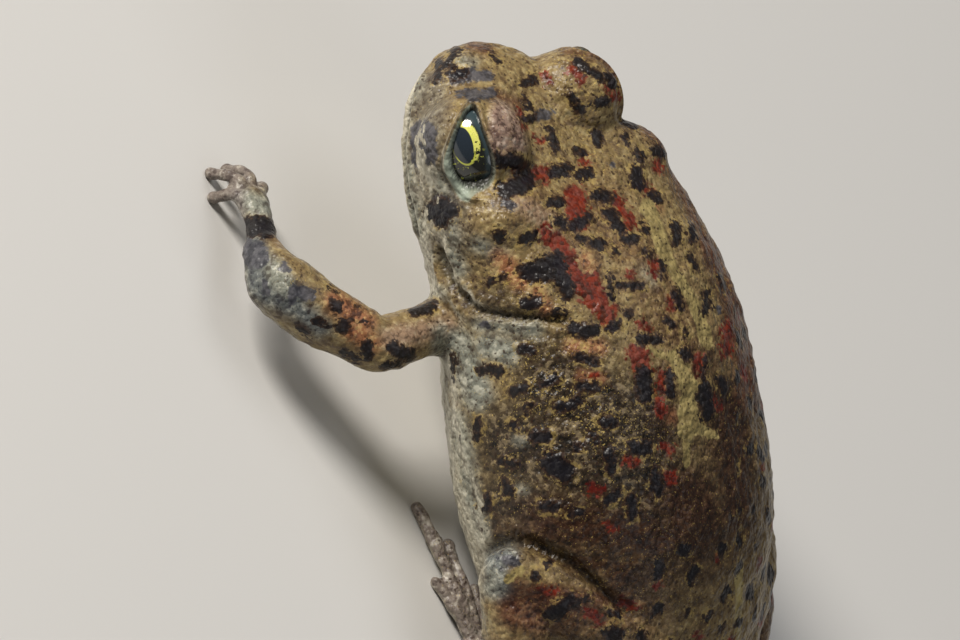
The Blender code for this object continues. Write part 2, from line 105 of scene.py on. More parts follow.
# The lids' opening, a little wider than the solids': its middle (back, up), its half sizes, how far its
# front end is turned up, and how much narrower it is there
OPENING_AT = (-0.02, 0.20)
OPENING_HALF = (0.70, 0.39)
OPENING_TURN = math.radians(-12.0)
FRONT_CORNER = 0.45

# Limbs of the left side: x, y, z and the radius there
SHOULDER = (1.45, -4.65, 2.15, 0.52)
UPPER_ARM = (2.45, -4.78, 1.98, 0.44)
ELBOW = (3.42, -4.90, 1.70, 0.45)
FOREARM = [(3.74, -5.43, 1.50, 0.50), (4.06, -6.03, 1.26, 0.55), (4.24, -6.68, 1.08, 0.52)]
WRIST = (4.02, -7.12, 0.93, 0.35)
HAND = [(3.90, -7.22, 0.90, 0.28), (3.55, -7.58, 0.80, 0.27), (3.18, -7.98, 0.62, 0.32)]
HAND_FLATNESS = 0.75
FINGERS = [
    # root from the middle of the knuckles, tip x, tip y
    (-0.24, -0.06, 2.42, -8.18),
    (-0.10, -0.10, 2.66, -8.66),
    (0.06, -0.08, 3.10, -8.72),
    (0.20, -0.00, 3.36, -8.34),
]
FINGER_RADII = (0.13, 0.10)
FINGER_ARCH = 0.22
HIP = (0.95, 2.00, 2.00, 0.80)
THIGH = [(2.10, 0.95, 2.15, 0.88), (3.00, 0.02, 2.12, 0.68)]
KNEE = (3.55, -0.55, 2.02, 0.50)
SHANK_TOP = (3.56, -0.48, 1.84, 0.45)
SHANK = [(3.55, 0.58, 1.48, 0.56), (3.34, 1.80, 1.10, 0.50)]
HEEL = (2.95, 2.95, 0.60, 0.30)
TARSUS = (3.02, 2.15, 0.42, 0.25)
ANKLE = (3.05, 1.35, 0.32, 0.25)
SOLE = [(3.00, 0.85, 0.26, 0.30), (2.85, 0.30, 0.20, 0.28)]
FOOT_FLATNESS = 0.7
TOES = [
    # root along the sole (0 ankle, 1 ball), tip x, tip y
    (0.35, 2.28, 0.42),
    (0.60, 1.98, -0.52),
    (0.85, 2.05, -1.38),
    (1.00, 2.34, -2.20),
    (0.85, 2.86, -0.95),
]
TOE_RADII = (0.145, 0.095)
TOE_ARCH = 0.05
TIP_HEIGHT = 0.08
# A digit's knuckles: how many, and how much of its radius they add
KNUCKLES = 3
KNUCKLE_SWELL = 0.10
# How far out and back over the floor the right hand and foot are, against the left ones, and the share
# of the hand's move that the elbow and the upper arm make
RIGHT_HAND_SHIFT = (0.10, 1.15)
RIGHT_FOOT_SHIFT = (0.0, 0.25)
ELBOW_SHARE, UPPER_ARM_SHARE = 0.8, 0.4
# A limb is an arm ahead of the first y and a leg behind the second. Its small parts, the hand or the
# foot, are below this height and at least this far under the body's axis.
ARMS_TO, LEGS_FROM = -2.5, -2.4
SMALL_HEIGHT, SMALL_UP = 0.7, -0.5

# How finely the skin is made, in mm and in points round a ring
VOXEL = 0.080
TRUNK_RINGS, TRUNK_SIDES = 150, 110
LIMB_SIDES, DIGIT_SIDES = 32, 16
# Where its faces are split once more: above and below the mouth line, round an eye and a nostril, on
# both sides of a lid's edge, and the boxes of the hands and the feet: least distance from the middle,
# y from and to, height
FINE_MOUTH, FINE_EYE, FINE_NOSTRIL, FINE_LID = 0.22, 1.25, 0.3, 0.16
FINE_HANDS = (1.9, -BODY_LENGTH, -5.9, 0.95)
FINE_FEET = (1.8, -2.5, 1.6, 0.45)

# Markings. Each is a stroke from one picture place to another with its width, all in pixels.
BLACK_MARKS = [
    # snout
    (437, 80, 440, 64, 10), (443, 68, 457, 50, 10), (450, 68, 452, 69, 8), (492, 55, 499, 61, 5),
    (450, 77, 463, 74, 11),
    # between the eyes, and on the right dome
    (525, 82, 533, 80, 12), (578, 63, 586, 69, 12), (590, 71, 600, 78, 11), (609, 77, 613, 83, 12),
    (571, 96, 583, 112, 9), (597, 103, 605, 102, 12), (524, 120, 529, 119, 11), (550, 130, 554, 149, 10),
    (596, 134, 599, 142, 11), (624, 138, 627, 142, 8), (625, 121, 635, 125, 8), (638, 151, 642, 160, 10),
    (655, 149, 662, 153, 11), (576, 152, 582, 154, 9), (552, 174, 565, 169, 13), (579, 176, 589, 173, 12),
    (636, 170, 639, 186, 15), (652, 195, 658, 200, 12), (596, 196, 608, 198, 12), (551, 203, 558, 204, 12),
    # behind the left eye
    (498, 160, 520, 166, 15), (505, 191, 526, 183, 20), (518, 172, 528, 176, 8), (524, 100, 530, 110, 6),
    # cheek and the side of the neck
    (432, 212, 450, 213, 19), (441, 202, 442, 222, 13), (497, 236, 500, 238, 12), (520, 241, 534, 237, 12),
    (486, 281, 503, 279, 8), (556, 221, 571, 228, 10), (571, 228, 589, 219, 11), (580, 238, 586, 242, 11),
    (586, 242, 603, 246, 11), (607, 214, 621, 228, 11), (627, 241, 632, 240, 13), (643, 225, 645, 231, 8),
    (614, 252, 615, 253, 6), (645, 252, 651, 253, 8), (676, 226, 676, 241, 12), (692, 227, 693, 238, 7),
    (690, 256, 697, 268, 9),
    # the great black mark before the shoulder
    (528, 274, 550, 262, 20), (540, 277, 556, 275, 14), (556, 262, 566, 292, 18), (527, 303, 535, 302, 15),
    (555, 314, 563, 314, 10),
    # back, to the pale stripe and beyond
    (574, 329, 592, 332, 16), (611, 328, 616, 326, 12), (609, 276, 610, 298, 8), (617, 284, 640, 287, 10),
    (624, 314, 629, 314, 10), (661, 262, 662, 278, 7), (674, 292, 680, 306, 9), (707, 294, 706, 312, 10),
    (720, 276, 724, 288, 7), (684, 329, 686, 336, 7), (665, 318, 672, 324, 9), (641, 338, 657, 339, 12),
    (682, 353, 688, 357, 12), (641, 374, 644, 394, 18), (669, 374, 669, 394, 10), (704, 388, 706, 414, 16),
    (721, 382, 724, 392, 12), (703, 360, 704, 374, 8),
    # left flank
    (521, 348, 530, 348, 13), (484, 369, 500, 370, 13), (577, 357, 594, 361, 11), (512, 390, 523, 388, 13),
    (543, 383, 553, 378, 13), (579, 386, 594, 387, 12), (558, 406, 575, 400, 13), (602, 419, 610, 419, 15),
    (511, 422, 515, 425, 10), (534, 434, 545, 436, 13), (478, 420, 477, 436, 11), (502, 460, 516, 461, 9),
    (551, 462, 564, 471, 24), (608, 450, 609, 468, 13), (633, 447, 644, 447, 17), (654, 472, 655, 490, 13),
    (630, 496, 630, 514, 12), (451, 355, 451, 369, 10), (446, 394, 447, 408, 10), (506, 480, 507, 490, 12),
    (485, 498, 486, 508, 14), (456, 484, 457, 492, 8), (604, 498, 616, 492, 12), (568, 511, 582, 510, 10),
    (543, 504, 558, 503, 12), (525, 410, 532, 404, 8), (590, 432, 594, 440, 9), (576, 446, 582, 442, 8),
    # left arm, from the shoulder down
    (415, 311, 434, 307, 12), (395, 347, 408, 354, 16), (368, 345, 369, 353, 14), (340, 327, 349, 325, 12),
    (338, 306, 339, 308, 14), (320, 321, 329, 323, 10), (365, 324, 366, 325, 6), (360, 307, 361, 309, 5),
    (332, 288, 337, 291, 6), (254, 227, 272, 228, 22), (345, 353, 357, 359, 9), (301, 326, 311, 335, 7),
    (384, 366, 398, 364, 8),
    # left knee and thigh
    (546, 560, 549, 560, 9), (534, 572, 537, 573, 10), (552, 610, 570, 598, 18), (583, 595, 585, 595, 9),
    (611, 610, 616, 612, 12), (643, 616, 647, 617, 10),
]
SLATE_MARKS = [
    (453, 79, 472, 75, 13), (478, 77, 489, 77, 12), (470, 95, 488, 96, 14), (459, 97, 462, 93, 7),
    (424, 133, 425, 160, 25), (441, 204, 441, 216, 20), (539, 116, 548, 115, 11), (505, 203, 512, 208, 9),
    (250, 245, 252, 262, 14), (262, 250, 263, 262, 14), (287, 266, 288, 271, 9), (268, 286, 270, 291, 10),
    (299, 292, 314, 296, 14), (292, 303, 295, 297, 9), (507, 556, 513, 558, 12), (481, 323, 487, 324, 8),
    (693, 224, 694, 238, 6), (612, 163, 613, 165, 5), (720, 308, 720, 312, 7),
]
RED_MARKS = [
    # the long streak from the neck over the shoulder
    (544, 233, 558, 247, 17), (558, 247, 571, 272, 19), (571, 272, 583, 289, 21), (588, 284, 604, 314, 24),
    (586, 292, 606, 318, 18),
    # round the eyes
    (530, 178, 545, 175, 17), (537, 139, 539, 141, 8), (545, 74, 547, 82, 9), (572, 68, 582, 78, 12),
    (608, 88, 614, 97, 11), (509, 162, 517, 172, 11), (584, 160, 586, 166, 10), (520, 110, 524, 128, 7),
    # nape and shoulders
    (576, 198, 578, 222, 24), (616, 198, 630, 226, 12), (641, 186, 648, 190, 12), (657, 162, 659, 168, 12),
    (653, 262, 655, 274, 10), (673, 298, 672, 306, 9), (642, 324, 645, 328, 11), (637, 354, 640, 368, 22),
    (661, 374, 662, 388, 13), (659, 403, 660, 409, 12), (697, 358, 700, 372, 12), (712, 398, 714, 406, 11),
    (727, 328, 727, 352, 14), (629, 276, 634, 279, 7),
    # flank and thigh
    (591, 374, 594, 375, 6), (626, 461, 632, 461, 10), (590, 487, 598, 488, 12), (669, 472, 670, 478, 10),
    (662, 448, 670, 450, 9), (606, 524, 611, 526, 9), (586, 610, 596, 616, 10), (620, 600, 634, 606, 9),
    (540, 586, 552, 588, 9),
]
# Broad areas of one sort of skin, as strokes too
# Partly the flank's own dark, dense pattern and partly painted shade: darkest low on the flank, and a stroke
# along the crease behind the jaw
SHADED_FLANK_AREAS = [
    (555, 385, 640, 430, 90), (515, 440, 640, 480, 90), (500, 500, 640, 520, 60), (480, 420, 500, 470, 20),
    (520, 345, 600, 350, 20), (470, 300, 540, 300, 14),
]
BACK_AREAS = [(590, 195, 645, 270, 44), (640, 260, 690, 350, 44), (530, 200, 590, 260, 30)]
# Painted shade over reddish-brown skin: low on the back, down its right side, beside and behind the thigh,
# and in the gap between the belly and the knee
RUMP_SHADE_AREAS = [
    (722, 270, 742, 340, 16), (712, 350, 722, 410, 18), (655, 380, 664, 430, 12), (712, 446, 730, 500, 30),
    (745, 560, 760, 640, 50), (730, 400, 745, 640, 60), (690, 500, 720, 640, 80), (498, 528, 560, 532, 16),
    (545, 522, 700, 545, 56), (575, 560, 720, 575, 40), (540, 628, 640, 640, 30), (620, 580, 700, 600, 60),
]
CHEEK_AREAS = [(428, 90, 424, 215, 40), (436, 180, 452, 240, 40), (642, 272, 652, 284, 8)]
PALE_AND_HIGHLIGHT_AREAS = [
    (417, 78, 408, 105, 9), (406, 120, 405, 165, 7), (407, 165, 412, 205, 11), (412, 205, 426, 258, 14),
    # Painted highlight: the last stroke of the next line, (458, 61) to (474, 64), along the top of the snout
    (436, 180, 444, 190, 14), (452, 258, 460, 270, 16), (478, 246, 500, 254, 14), (458, 61, 474, 64, 7),
    (440, 330, 439, 392, 12), (458, 345, 476, 392, 34), (456, 420, 468, 480, 20), (464, 490, 482, 532, 16),
    (486, 345, 506, 352, 26), (478, 325, 536, 330, 13), (425, 293, 440, 291, 12), (245, 200, 266, 208, 26),
    (276, 268, 285, 285, 20), (519, 486, 523, 487, 4), (518, 440, 523, 441, 3), (492, 572, 492, 584, 12),
    (446, 205, 452, 245, 9),
]
OLIVE_AREAS = [
    (672, 358, 682, 372, 13), (682, 372, 690, 392, 20), (690, 392, 685, 430, 19), (685, 430, 686, 464, 7),
    (691, 424, 713, 435, 10), (645, 348, 672, 358, 7), (648, 205, 668, 262, 14), (668, 262, 692, 300, 12),
    (692, 300, 708, 345, 12), (520, 566, 508, 578, 9),
]
# Reddish-brown skin; its strokes on the thigh and in the crease above the left lid are also painted shade
RUST_AND_SHADE_AREAS = [
    (640, 118, 668, 152, 12), (674, 170, 706, 240, 12), (706, 240, 738, 310, 20), (738, 310, 752, 400, 26),
    (566, 50, 606, 58, 8), (606, 58, 627, 90, 10), (470, 44, 488, 50, 12), (496, 97, 518, 104, 9),
    (520, 600, 650, 622, 50), (722, 240, 742, 300, 10),
]
EMBER_AREAS = [
    (500, 258, 520, 282, 18), (338, 302, 366, 322, 22), (352, 330, 372, 342, 20), (572, 346, 597, 347, 13),
    (670, 415, 671, 416, 9), (655, 204, 657, 206, 8), (580, 376, 600, 378, 8), (536, 290, 545, 310, 12),
    (583, 258, 590, 268, 8),
]
TAN_AREAS = [(392, 338, 448, 326, 22), (281, 226, 282, 240, 7), (520, 205, 548, 222, 16)]
ARM_AREAS = [
    (494, 556, 496, 582, 26), (502, 552, 510, 550, 16), (254, 246, 262, 285, 30), (262, 285, 292, 300, 36),
    (292, 304, 322, 326, 22),
]
LID_AREAS = [(501, 114, 499, 146, 22), (514, 120, 517, 148, 16)]
GLITTER_AREAS = [
    (545, 165, 580, 200, 26), (565, 55, 600, 100, 30), (484, 258, 522, 284, 24), (565, 345, 600, 348, 18),
    (290, 280, 300, 284, 14), (545, 232, 566, 250, 24), (430, 222, 446, 228, 8), (530, 380, 640, 440, 50),
    (590, 120, 600, 160, 30), (560, 300, 570, 330, 16),
]

# Sorts of skin: the colours of their darkest, middling and palest granules
KHAKI_SKIN = ((0.112, 0.073, 0.035), (0.200, 0.141, 0.062), (0.310, 0.238, 0.112))
# Partly the flank's own dark tone, partly painted shade
SHADED_FLANK_SKIN = ((0.008, 0.006, 0.004), (0.030, 0.020, 0.012), (0.150, 0.113, 0.066))
# Mostly painted shade over a reddish-brown skin
RUMP_SHADE_SKIN = ((0.013, 0.005, 0.003), (0.034, 0.014, 0.007), (0.080, 0.042, 0.021))
PALE_SKIN = ((0.105, 0.098, 0.078), (0.215, 0.220, 0.180), (0.390, 0.385, 0.315))
CHEEK_SKIN = ((0.075, 0.056, 0.037), (0.145, 0.120, 0.082), (0.255, 0.226, 0.165))
BELLY_SKIN = ((0.340, 0.310, 0.240), (0.500, 0.470, 0.370), (0.620, 0.590, 0.480))
# Reddish-brown, made darker to serve as painted shade on the thigh and above the left lid
RUST_AND_SHADE_SKIN = ((0.030, 0.010, 0.006), (0.086, 0.036, 0.019), (0.180, 0.095, 0.050))
EMBER_SKIN = ((0.080, 0.030, 0.015), (0.250, 0.105, 0.048), (0.450, 0.270, 0.120))
TAN_SKIN = ((0.130, 0.080, 0.048), (0.260, 0.170, 0.105), (0.400, 0.300, 0.200))
ARM_SKIN = ((0.034, 0.036, 0.042), (0.115, 0.125, 0.122), (0.280, 0.290, 0.260))
LID_SKIN = ((0.110, 0.065, 0.050), (0.245, 0.165, 0.125), (0.400, 0.310, 0.245))
BACK_SKIN = ((0.078, 0.042, 0.020), (0.158, 0.095, 0.042), (0.270, 0.188, 0.088))
LEG_SKIN = ((0.038, 0.021, 0.013), (0.110, 0.068, 0.038), (0.240, 0.172, 0.098))
DIGIT_SKIN = ((0.085, 0.068, 0.064), (0.185, 0.158, 0.145), (0.370, 0.345, 0.310))
# Which skin grows where, some of it painted shade, painted in this order: its strokes and how softly they
# end, in pixels
ZONES = [
    (BACK_AREAS, 30, BACK_SKIN),
    (SHADED_FLANK_AREAS, 26, SHADED_FLANK_SKIN),
    (RUMP_SHADE_AREAS, 24, RUMP_SHADE_SKIN),
    (RUST_AND_SHADE_AREAS, 8, RUST_AND_SHADE_SKIN),
    (CHEEK_AREAS, 12, CHEEK_SKIN),
    (TAN_AREAS, 8, TAN_SKIN),
    (ARM_AREAS, 9, ARM_SKIN),
    (PALE_AND_HIGHLIGHT_AREAS, 9, PALE_SKIN),
    (EMBER_AREAS, 8, EMBER_SKIN),
    (LID_AREAS, 6, LID_SKIN),
]


def smooth_through(knots, values, at):
    """A cubic through the knots whose slope at each is that of the line between its neighbours."""
    knots, values, at = (np.asarray(a, float) for a in (knots, values, at))
    values = values.reshape(len(knots), -1)
    step = np.diff(knots)[:, None]
    chord = np.diff(values, axis=0) / step
    slope = np.empty_like(values)
    slope[0], slope[-1] = chord[0], chord[-1]
    slope[1:-1] = (chord[:-1] * step[1:] + chord[1:] * step[:-1]) / (step[:-1] + step[1:])
    i = np.clip(np.searchsorted(knots, at, side="right") - 1, 0, len(knots) - 2)
    u = ((at - knots[i]) / np.diff(knots)[i])[:, None]
    h = step[i]
    return (
        (2 * u**3 - 3 * u**2 + 1) * values[i]
        + (u**3 - 2 * u**2 + u) * h * slope[i]
        + (3 * u**2 - 2 * u**3) * values[i + 1]
        + (u**3 - u**2) * h * slope[i + 1]
    )


def ease(share):
    """0 before 0, 1 after 1, and a smooth step between."""
    share = np.clip(share, 0.0, 1.0)
    return share * share * (3 - 2 * share)


def bump(away, width):
    """A bell: 1 at no distance, falling to a third at one width."""
    return np.exp(-((away / width) ** 2))


def unit(vectors):
    """Each vector over its length."""
    return vectors / (np.linalg.norm(vectors, axis=-1, keepdims=True) + 1e-12)


def away_from(points, middle):
    """How far points are from one place."""
    return np.linalg.norm(points - middle, axis=1)


def body_turn(along):
    """Roll of the head, an eased step from neck to eyes, and sideways swing of the spine, a squared sine."""
    roll = HEAD_ROLL * ease((along - ROLL_FROM) / (ROLL_TO - ROLL_FROM))
    swing = SIDE_BEND * np.sin(math.pi * ((along - BEND_FROM) / (BEND_TO - BEND_FROM)).clip(0, 1)) ** 2
    return roll, swing


def to_world(places):
    """World points of (along, left, up) places: rolled, swung aside, then pitched up and set at rest."""
    along, left, up = np.moveaxis(np.asarray(places, float), -1, 0)
    roll, swing = body_turn(along)
    left, up = left * np.cos(roll) - up * np.sin(roll) + swing, left * np.sin(roll) + up * np.cos(roll)
    ahead = REST_ALONG - along
    y = -ahead * math.cos(BODY_PITCH) + up * math.sin(BODY_PITCH)
    z = AXIS_HEIGHT + ahead * math.sin(BODY_PITCH) + up * math.cos(BODY_PITCH)
    return np.stack([left, y, z], -1)


def to_body(points):
    """The (along, left, up) places of world points, the way back from to_world."""
    x, y, z = np.moveaxis(np.asarray(points, float), -1, 0)
    z = z - AXIS_HEIGHT
    ahead = -y * math.cos(BODY_PITCH) + z * math.sin(BODY_PITCH)
    up = y * math.sin(BODY_PITCH) + z * math.cos(BODY_PITCH)
    along = REST_ALONG - ahead
    roll, swing = body_turn(along)
    x = x - swing
    return np.stack([along, x * np.cos(roll) + up * np.sin(roll), up * np.cos(roll) - x * np.sin(roll)], -1)


TOWARDS = unit(np.array(TOWARDS_CAMERA))
UPWARDS = unit(np.array(PICTURE_UP) - TOWARDS * (np.array(PICTURE_UP) @ TOWARDS))
RIGHTWARDS = np.cross(UPWARDS, TOWARDS)
SNOUT = to_world((0.0, 0.0, TRUNK_PROFILE[0][2]))


def picture_places(points):
    """Where points show in the photo, in pixels: their offsets from the snout along its two axes."""
    away = (points - SNOUT) * PIXELS_PER_MM
    return np.stack([SNOUT_PIXEL[0] + away @ RIGHTWARDS, SNOUT_PIXEL[1] - away @ UPWARDS], -1)


def closed_surface(rings, first, last):
    """Points and triangles of rings joined in order, with a fan to a pole at each end, facing out."""
    count, sides = rings.shape[:2]
    points = np.concatenate([rings.reshape(-1, 3), [first, last]])
    i, j = np.meshgrid(np.arange(count - 1), np.arange(sides), indexing="ij")
    k = (j + 1) % sides
    a, b, c, d = i * sides + j, (i + 1) * sides + j, (i + 1) * sides + k, i * sides + k
    rim = np.arange(sides)
    after = (rim + 1) % sides
    end = (count - 1) * sides
    pole = np.full(sides, count * sides)
    faces = np.concatenate([
        np.stack([a, b, c], -1).reshape(-1, 3),
        np.stack([a, c, d], -1).reshape(-1, 3),
        np.stack([pole, rim, after], -1),
        np.stack([pole + 1, end + after, end + rim], -1),
    ])
    corners = points[faces]
    volume = (corners[:, 0] * np.cross(corners[:, 1], corners[:, 2])).sum()
    return points, faces if volume > 0 else faces[:, ::-1]


def joined(surfaces):
    """Several (points, triangles) as one."""
    starts = np.cumsum([0] + [len(points) for points, _ in surfaces])
    points = np.concatenate([points for points, _ in surfaces])
    return points, np.concatenate([faces + start for (_, faces), start in zip(surfaces, starts)])


def mesh_from(name, points, faces):
    """A smooth-shaded mesh of these points, in whatever unit they have."""
    shape = bpy.data.meshes.new(name)
    shape.from_pydata(np.asarray(points).tolist(), [], np.asarray(faces).tolist())
    shape.shade_smooth()
    return shape


def place(name, shape):
    """An object with this data, in the scene."""
    thing = bpy.data.objects.new(name, shape)
    bpy.context.scene.collection.objects.link(thing)
    return thing


def whole_turn(sides):
    """Angles evenly round a ring."""
    return np.linspace(0, 2 * math.pi, sides, endpoint=False)


def trunk():
    """Rings of superellipses along the body, closer at both ends, raised where the glands swell."""
    turn_along = np.linspace(0, math.pi, TRUNK_RINGS + 2)[1:-1]
    along = BODY_LENGTH * (1 - np.cos(turn_along)) / 2
    half, middle, height = (v[:, None] for v in trunk_section(along))
    along = along[:, None]
    turn = whole_turn(TRUNK_SIDES)[None, :]
    power = 2 / TRUNK_SQUARENESS
    left = half * np.sign(np.cos(turn)) * np.abs(np.cos(turn)) ** power
    up = middle + height * np.sign(np.sin(turn)) * np.abs(np.sin(turn)) ** power
    out = unit(np.stack([left / (half**2 + 1e-6), (up - middle) / (height**2 + 1e-6)], -1))
    rise = swelling(along, left, up)
    raised = [left + out[..., 0] * rise, up + out[..., 1] * rise]
    rings = to_world(np.stack([np.broadcast_to(along, left.shape), *raised], -1))
    return closed_surface(rings, SNOUT, to_world((BODY_LENGTH, 0.0, TRUNK_PROFILE[-1][2])))


def trunk_section(along):
    """Half width, middle height and half height of the body at these distances from the snout."""
    knots, half, top, bottom = np.array(TRUNK_PROFILE).T
    squares = np.stack([half**2, ((top - bottom) / 2) ** 2, (top + bottom) / 2], 1)
    width2, height2, middle = smooth_through(knots, squares, along).T
    return np.sqrt(width2.clip(0)), middle, np.sqrt(height2.clip(0))


def swelling(along, left, up):
    """How far the glands and the brow raise the skin: a sum of smooth round hills."""
    rise = 0.0
    for at_along, at_left, at_up, radius, height in SWELLINGS:
        away = (along - at_along) ** 2 + (np.abs(left) - at_left) ** 2 + (up - at_up) ** 2
        rise = rise + height * np.exp(-away / radius**2 * HILL_FALL)
    return rise


def tube(stations, sides=LIMB_SIDES, step=0.1, flat=1.0, joints=0):
    """A round-ended tube whose ring at each step is an ellipse about a smooth line through stations.

    A station is (x, y, z, radius). flat is an ellipse's height over its width, and joints is how
    many knuckles swell along it.
    """
    stations = np.asarray(stations, float)
    length = np.concatenate([[0], np.cumsum(np.linalg.norm(np.diff(stations[:, :3], axis=0), axis=1))])
    count = max(4, int(length[-1] / step))
    at = np.linspace(0, length[-1], count)
    line = smooth_through(length, stations, at)
    path, radius = line[:, :3], line[:, 3]
    if joints:
        radius = radius * (0.96 + KNUCKLE_SWELL * np.cos(2 * math.pi * joints * at / length[-1]))
    ahead = unit(np.gradient(path, axis=0))
    side = unit(np.cross(ahead, (0.0, 0.0, 1.0)))
    over = np.cross(side, ahead)
    caps = np.radians([15.0, 30.0, 45.0, 60.0, 75.0])
    rows = [(0, -math.cos(c), math.sin(c)) for c in caps]
    rows += [(i, 0.0, 1.0) for i in range(count)]
    rows += [(count - 1, math.cos(c), math.sin(c)) for c in caps[::-1]]
    at_row, forward, scale = (np.array(v) for v in zip(*rows))
    reach = radius[at_row]
    centre = path[at_row] + ahead[at_row] * (reach * forward)[:, None]
    wide = side[at_row] * (reach * scale)[:, None]
    high = over[at_row] * (reach * scale * flat)[:, None]
    turn = whole_turn(sides)[:, None]
    rings = centre[:, None] + np.cos(turn) * wide[:, None] + np.sin(turn) * high[:, None]
    return closed_surface(rings, path[0] - ahead[0] * radius[0], path[-1] + ahead[-1] * radius[-1])


def placed(stations, side, shift=(0.0, 0.0)):
    """Stations of the left side as they lie on this side, moved over the floor by shift."""
    stations = np.atleast_2d(np.asarray(stations, float)) * (side, 1, 1, 1)
    return stations + (side * shift[0], shift[1], 0, 0)


def digits(roots, tips, radii, arch):
    """A tapered finger or toe from each root to each tip on the floor, arched in between."""
    made = []
    for root, tip in zip(roots, tips):
        middle = root * 0.45 + tip * 0.55 + (0.0, 0.0, arch)
        line = [(*root, radii[0]), (*middle, (radii[0] + radii[1]) / 2), (*tip, radii[1])]
        made.append(tube(line, DIGIT_SIDES, step=0.07, joints=KNUCKLES))
    return made


def fore_limb(side, shift):
    """Upper arm, forearm, palm and fingers of one side; shift moves the hand over the floor."""
    elbow = placed(ELBOW, side, np.multiply(shift, ELBOW_SHARE))
    middle = placed(UPPER_ARM, side, np.multiply(shift, UPPER_ARM_SHARE))
    upper = np.concatenate([placed(SHOULDER, side), middle, elbow])
    fore = np.concatenate([elbow, placed([*FOREARM, WRIST], side, shift)])
    palm = placed(HAND, side, shift)
    roots = [palm[-1, :3] + (side * x, y, 0.0) for x, y, _, _ in FINGERS]
    tips = [placed((x, y, TIP_HEIGHT, 0), side, shift)[0, :3] for _, _, x, y in FINGERS]
    fingers = digits(roots, tips, FINGER_RADII, FINGER_ARCH)
    return [tube(upper), tube(fore), tube(palm, flat=HAND_FLATNESS), *fingers]


def hind_limb(side, shift):
    """Thigh, shank, tarsus, sole and toes of one side; shift moves the foot over the floor."""
    thigh = placed([HIP, *THIGH, KNEE], side)
    shank = np.concatenate([placed([SHANK_TOP, SHANK[0]], side), placed([SHANK[1], HEEL], side, shift)])
    tarsus = placed([HEEL, TARSUS, ANKLE], side, shift)
    sole = placed([ANKLE, *SOLE], side, shift)
    roots = [sole[0, :3] * (1 - share) + sole[-1, :3] * share for share, _, _ in TOES]
    tips = [placed((x, y, TIP_HEIGHT, 0), side, shift)[0, :3] for _, x, y in TOES]
    toes = digits(roots, tips, TOE_RADII, TOE_ARCH)
    return [tube(thigh), tube(shank), tube(tarsus), tube(sole, flat=FOOT_FLATNESS), *toes]


def eye_axes(side):
    """World centre of an eyeball and its outward, backward and upward directions.

    The backward one is square to the outward one, and each is turned as the head is: by the way
    that a short step along it goes.
    """
    centre, out, back = (np.multiply(values, (1, side, 1)) for values in (EYE_AT, EYE_LOOKS, EYE_SLANT))
    out /= np.linalg.norm(out)
    back -= out * (back @ out)
    back /= np.linalg.norm(back)
    over = np.cross(back, out)
    over *= np.sign(over[2])
    start = to_world(centre)
    step = 0.1
    axes = [unit(to_world(centre + axis * step) - start) for axis in (out, back, over)]
    return (start, *axes)


def nostril(side):
    """World middle of a nostril."""
    return to_world(np.multiply(NOSTRIL_AT, (1, side, 1)))


def sphere(centre, radius, out, back, over, rows=48, sides=64):
    """A ball as rings round its outward axis."""
    polar = np.linspace(0, math.pi, rows + 2)[1:-1][:, None, None]
    turn = whole_turn(sides)[None, :, None]
    way = out * np.cos(polar) + (back * np.cos(turn) + over * np.sin(turn)) * np.sin(polar)
    return closed_surface(centre + way * radius, centre + out * radius, centre - out * radius)


def triangles_of(shape):
    """Points and triangles of a mesh, as arrays."""
    shape.calc_loop_triangles()
    points = np.empty(len(shape.vertices) * 3)
    shape.vertices.foreach_get("co", points)
    faces = np.empty(len(shape.loop_triangles) * 3, int)
    shape.loop_triangles.foreach_get("vertices", faces)
    return points.reshape(-1, 3), faces.reshape(-1, 3)


def applied(thing):
    """The object's mesh with its modifiers in it; the object itself goes."""
    shape = bpy.data.meshes.new_from_object(thing.evaluated_get(bpy.context.evaluated_depsgraph_get()))
    bpy.data.objects.remove(thing)
    return shape


def split_near(shape, near):
    """Splits each face whose middle is near into four; near is a function of points."""
    middles = np.empty(len(shape.polygons) * 3)
    shape.polygons.foreach_get("center", middles)
    shape.polygons.foreach_set("select", near(middles.reshape(-1, 3)))
    mesh = bmesh.new()
    mesh.from_mesh(shape)
    edges = [edge for edge in mesh.edges if any(face.select for face in edge.link_faces)]
    bmesh.ops.subdivide_edges(mesh, edges=edges, cuts=1, use_grid_fill=True)
    mesh.to_mesh(shape)
    mesh.free()


def near_fine_parts(points):
    """True at the eyes, the nostrils, the mouth line, the hands and the feet."""
    along, _, up = to_body(points).T
    near = (np.abs(up - mouth_height(along)) < FINE_MOUTH) & (along < MOUTH_END + 0.2)
    for side in (1, -1):
        for middle, reach in ((eye_axes(side)[0], FINE_EYE), (nostril(side), FINE_NOSTRIL)):
            near |= away_from(points, middle) < reach
    x, y, z = points.T
    for aside, start, end, height in (FINE_HANDS, FINE_FEET):
        near |= (np.abs(x) > aside) & (y > start) & (y < end) & (z < height)
    return near


def near_lid_edges(points):
    """True close to the edge of an eye opening."""
    near = np.zeros(len(points), bool)
    for side in (1, -1):
        inside, ahead = opening_depth(points, side)
        near |= (np.abs(inside) < FINE_LID) & (ahead > 0)
    return near


def mouth_height(along):
    """How high the closed mouth runs at a distance from the snout."""
    line_along, line_up = np.array(MOUTH_LINE).T
    return smooth_through(line_along, line_up, np.clip(along, line_along[0], line_along[-1]))[:, 0]


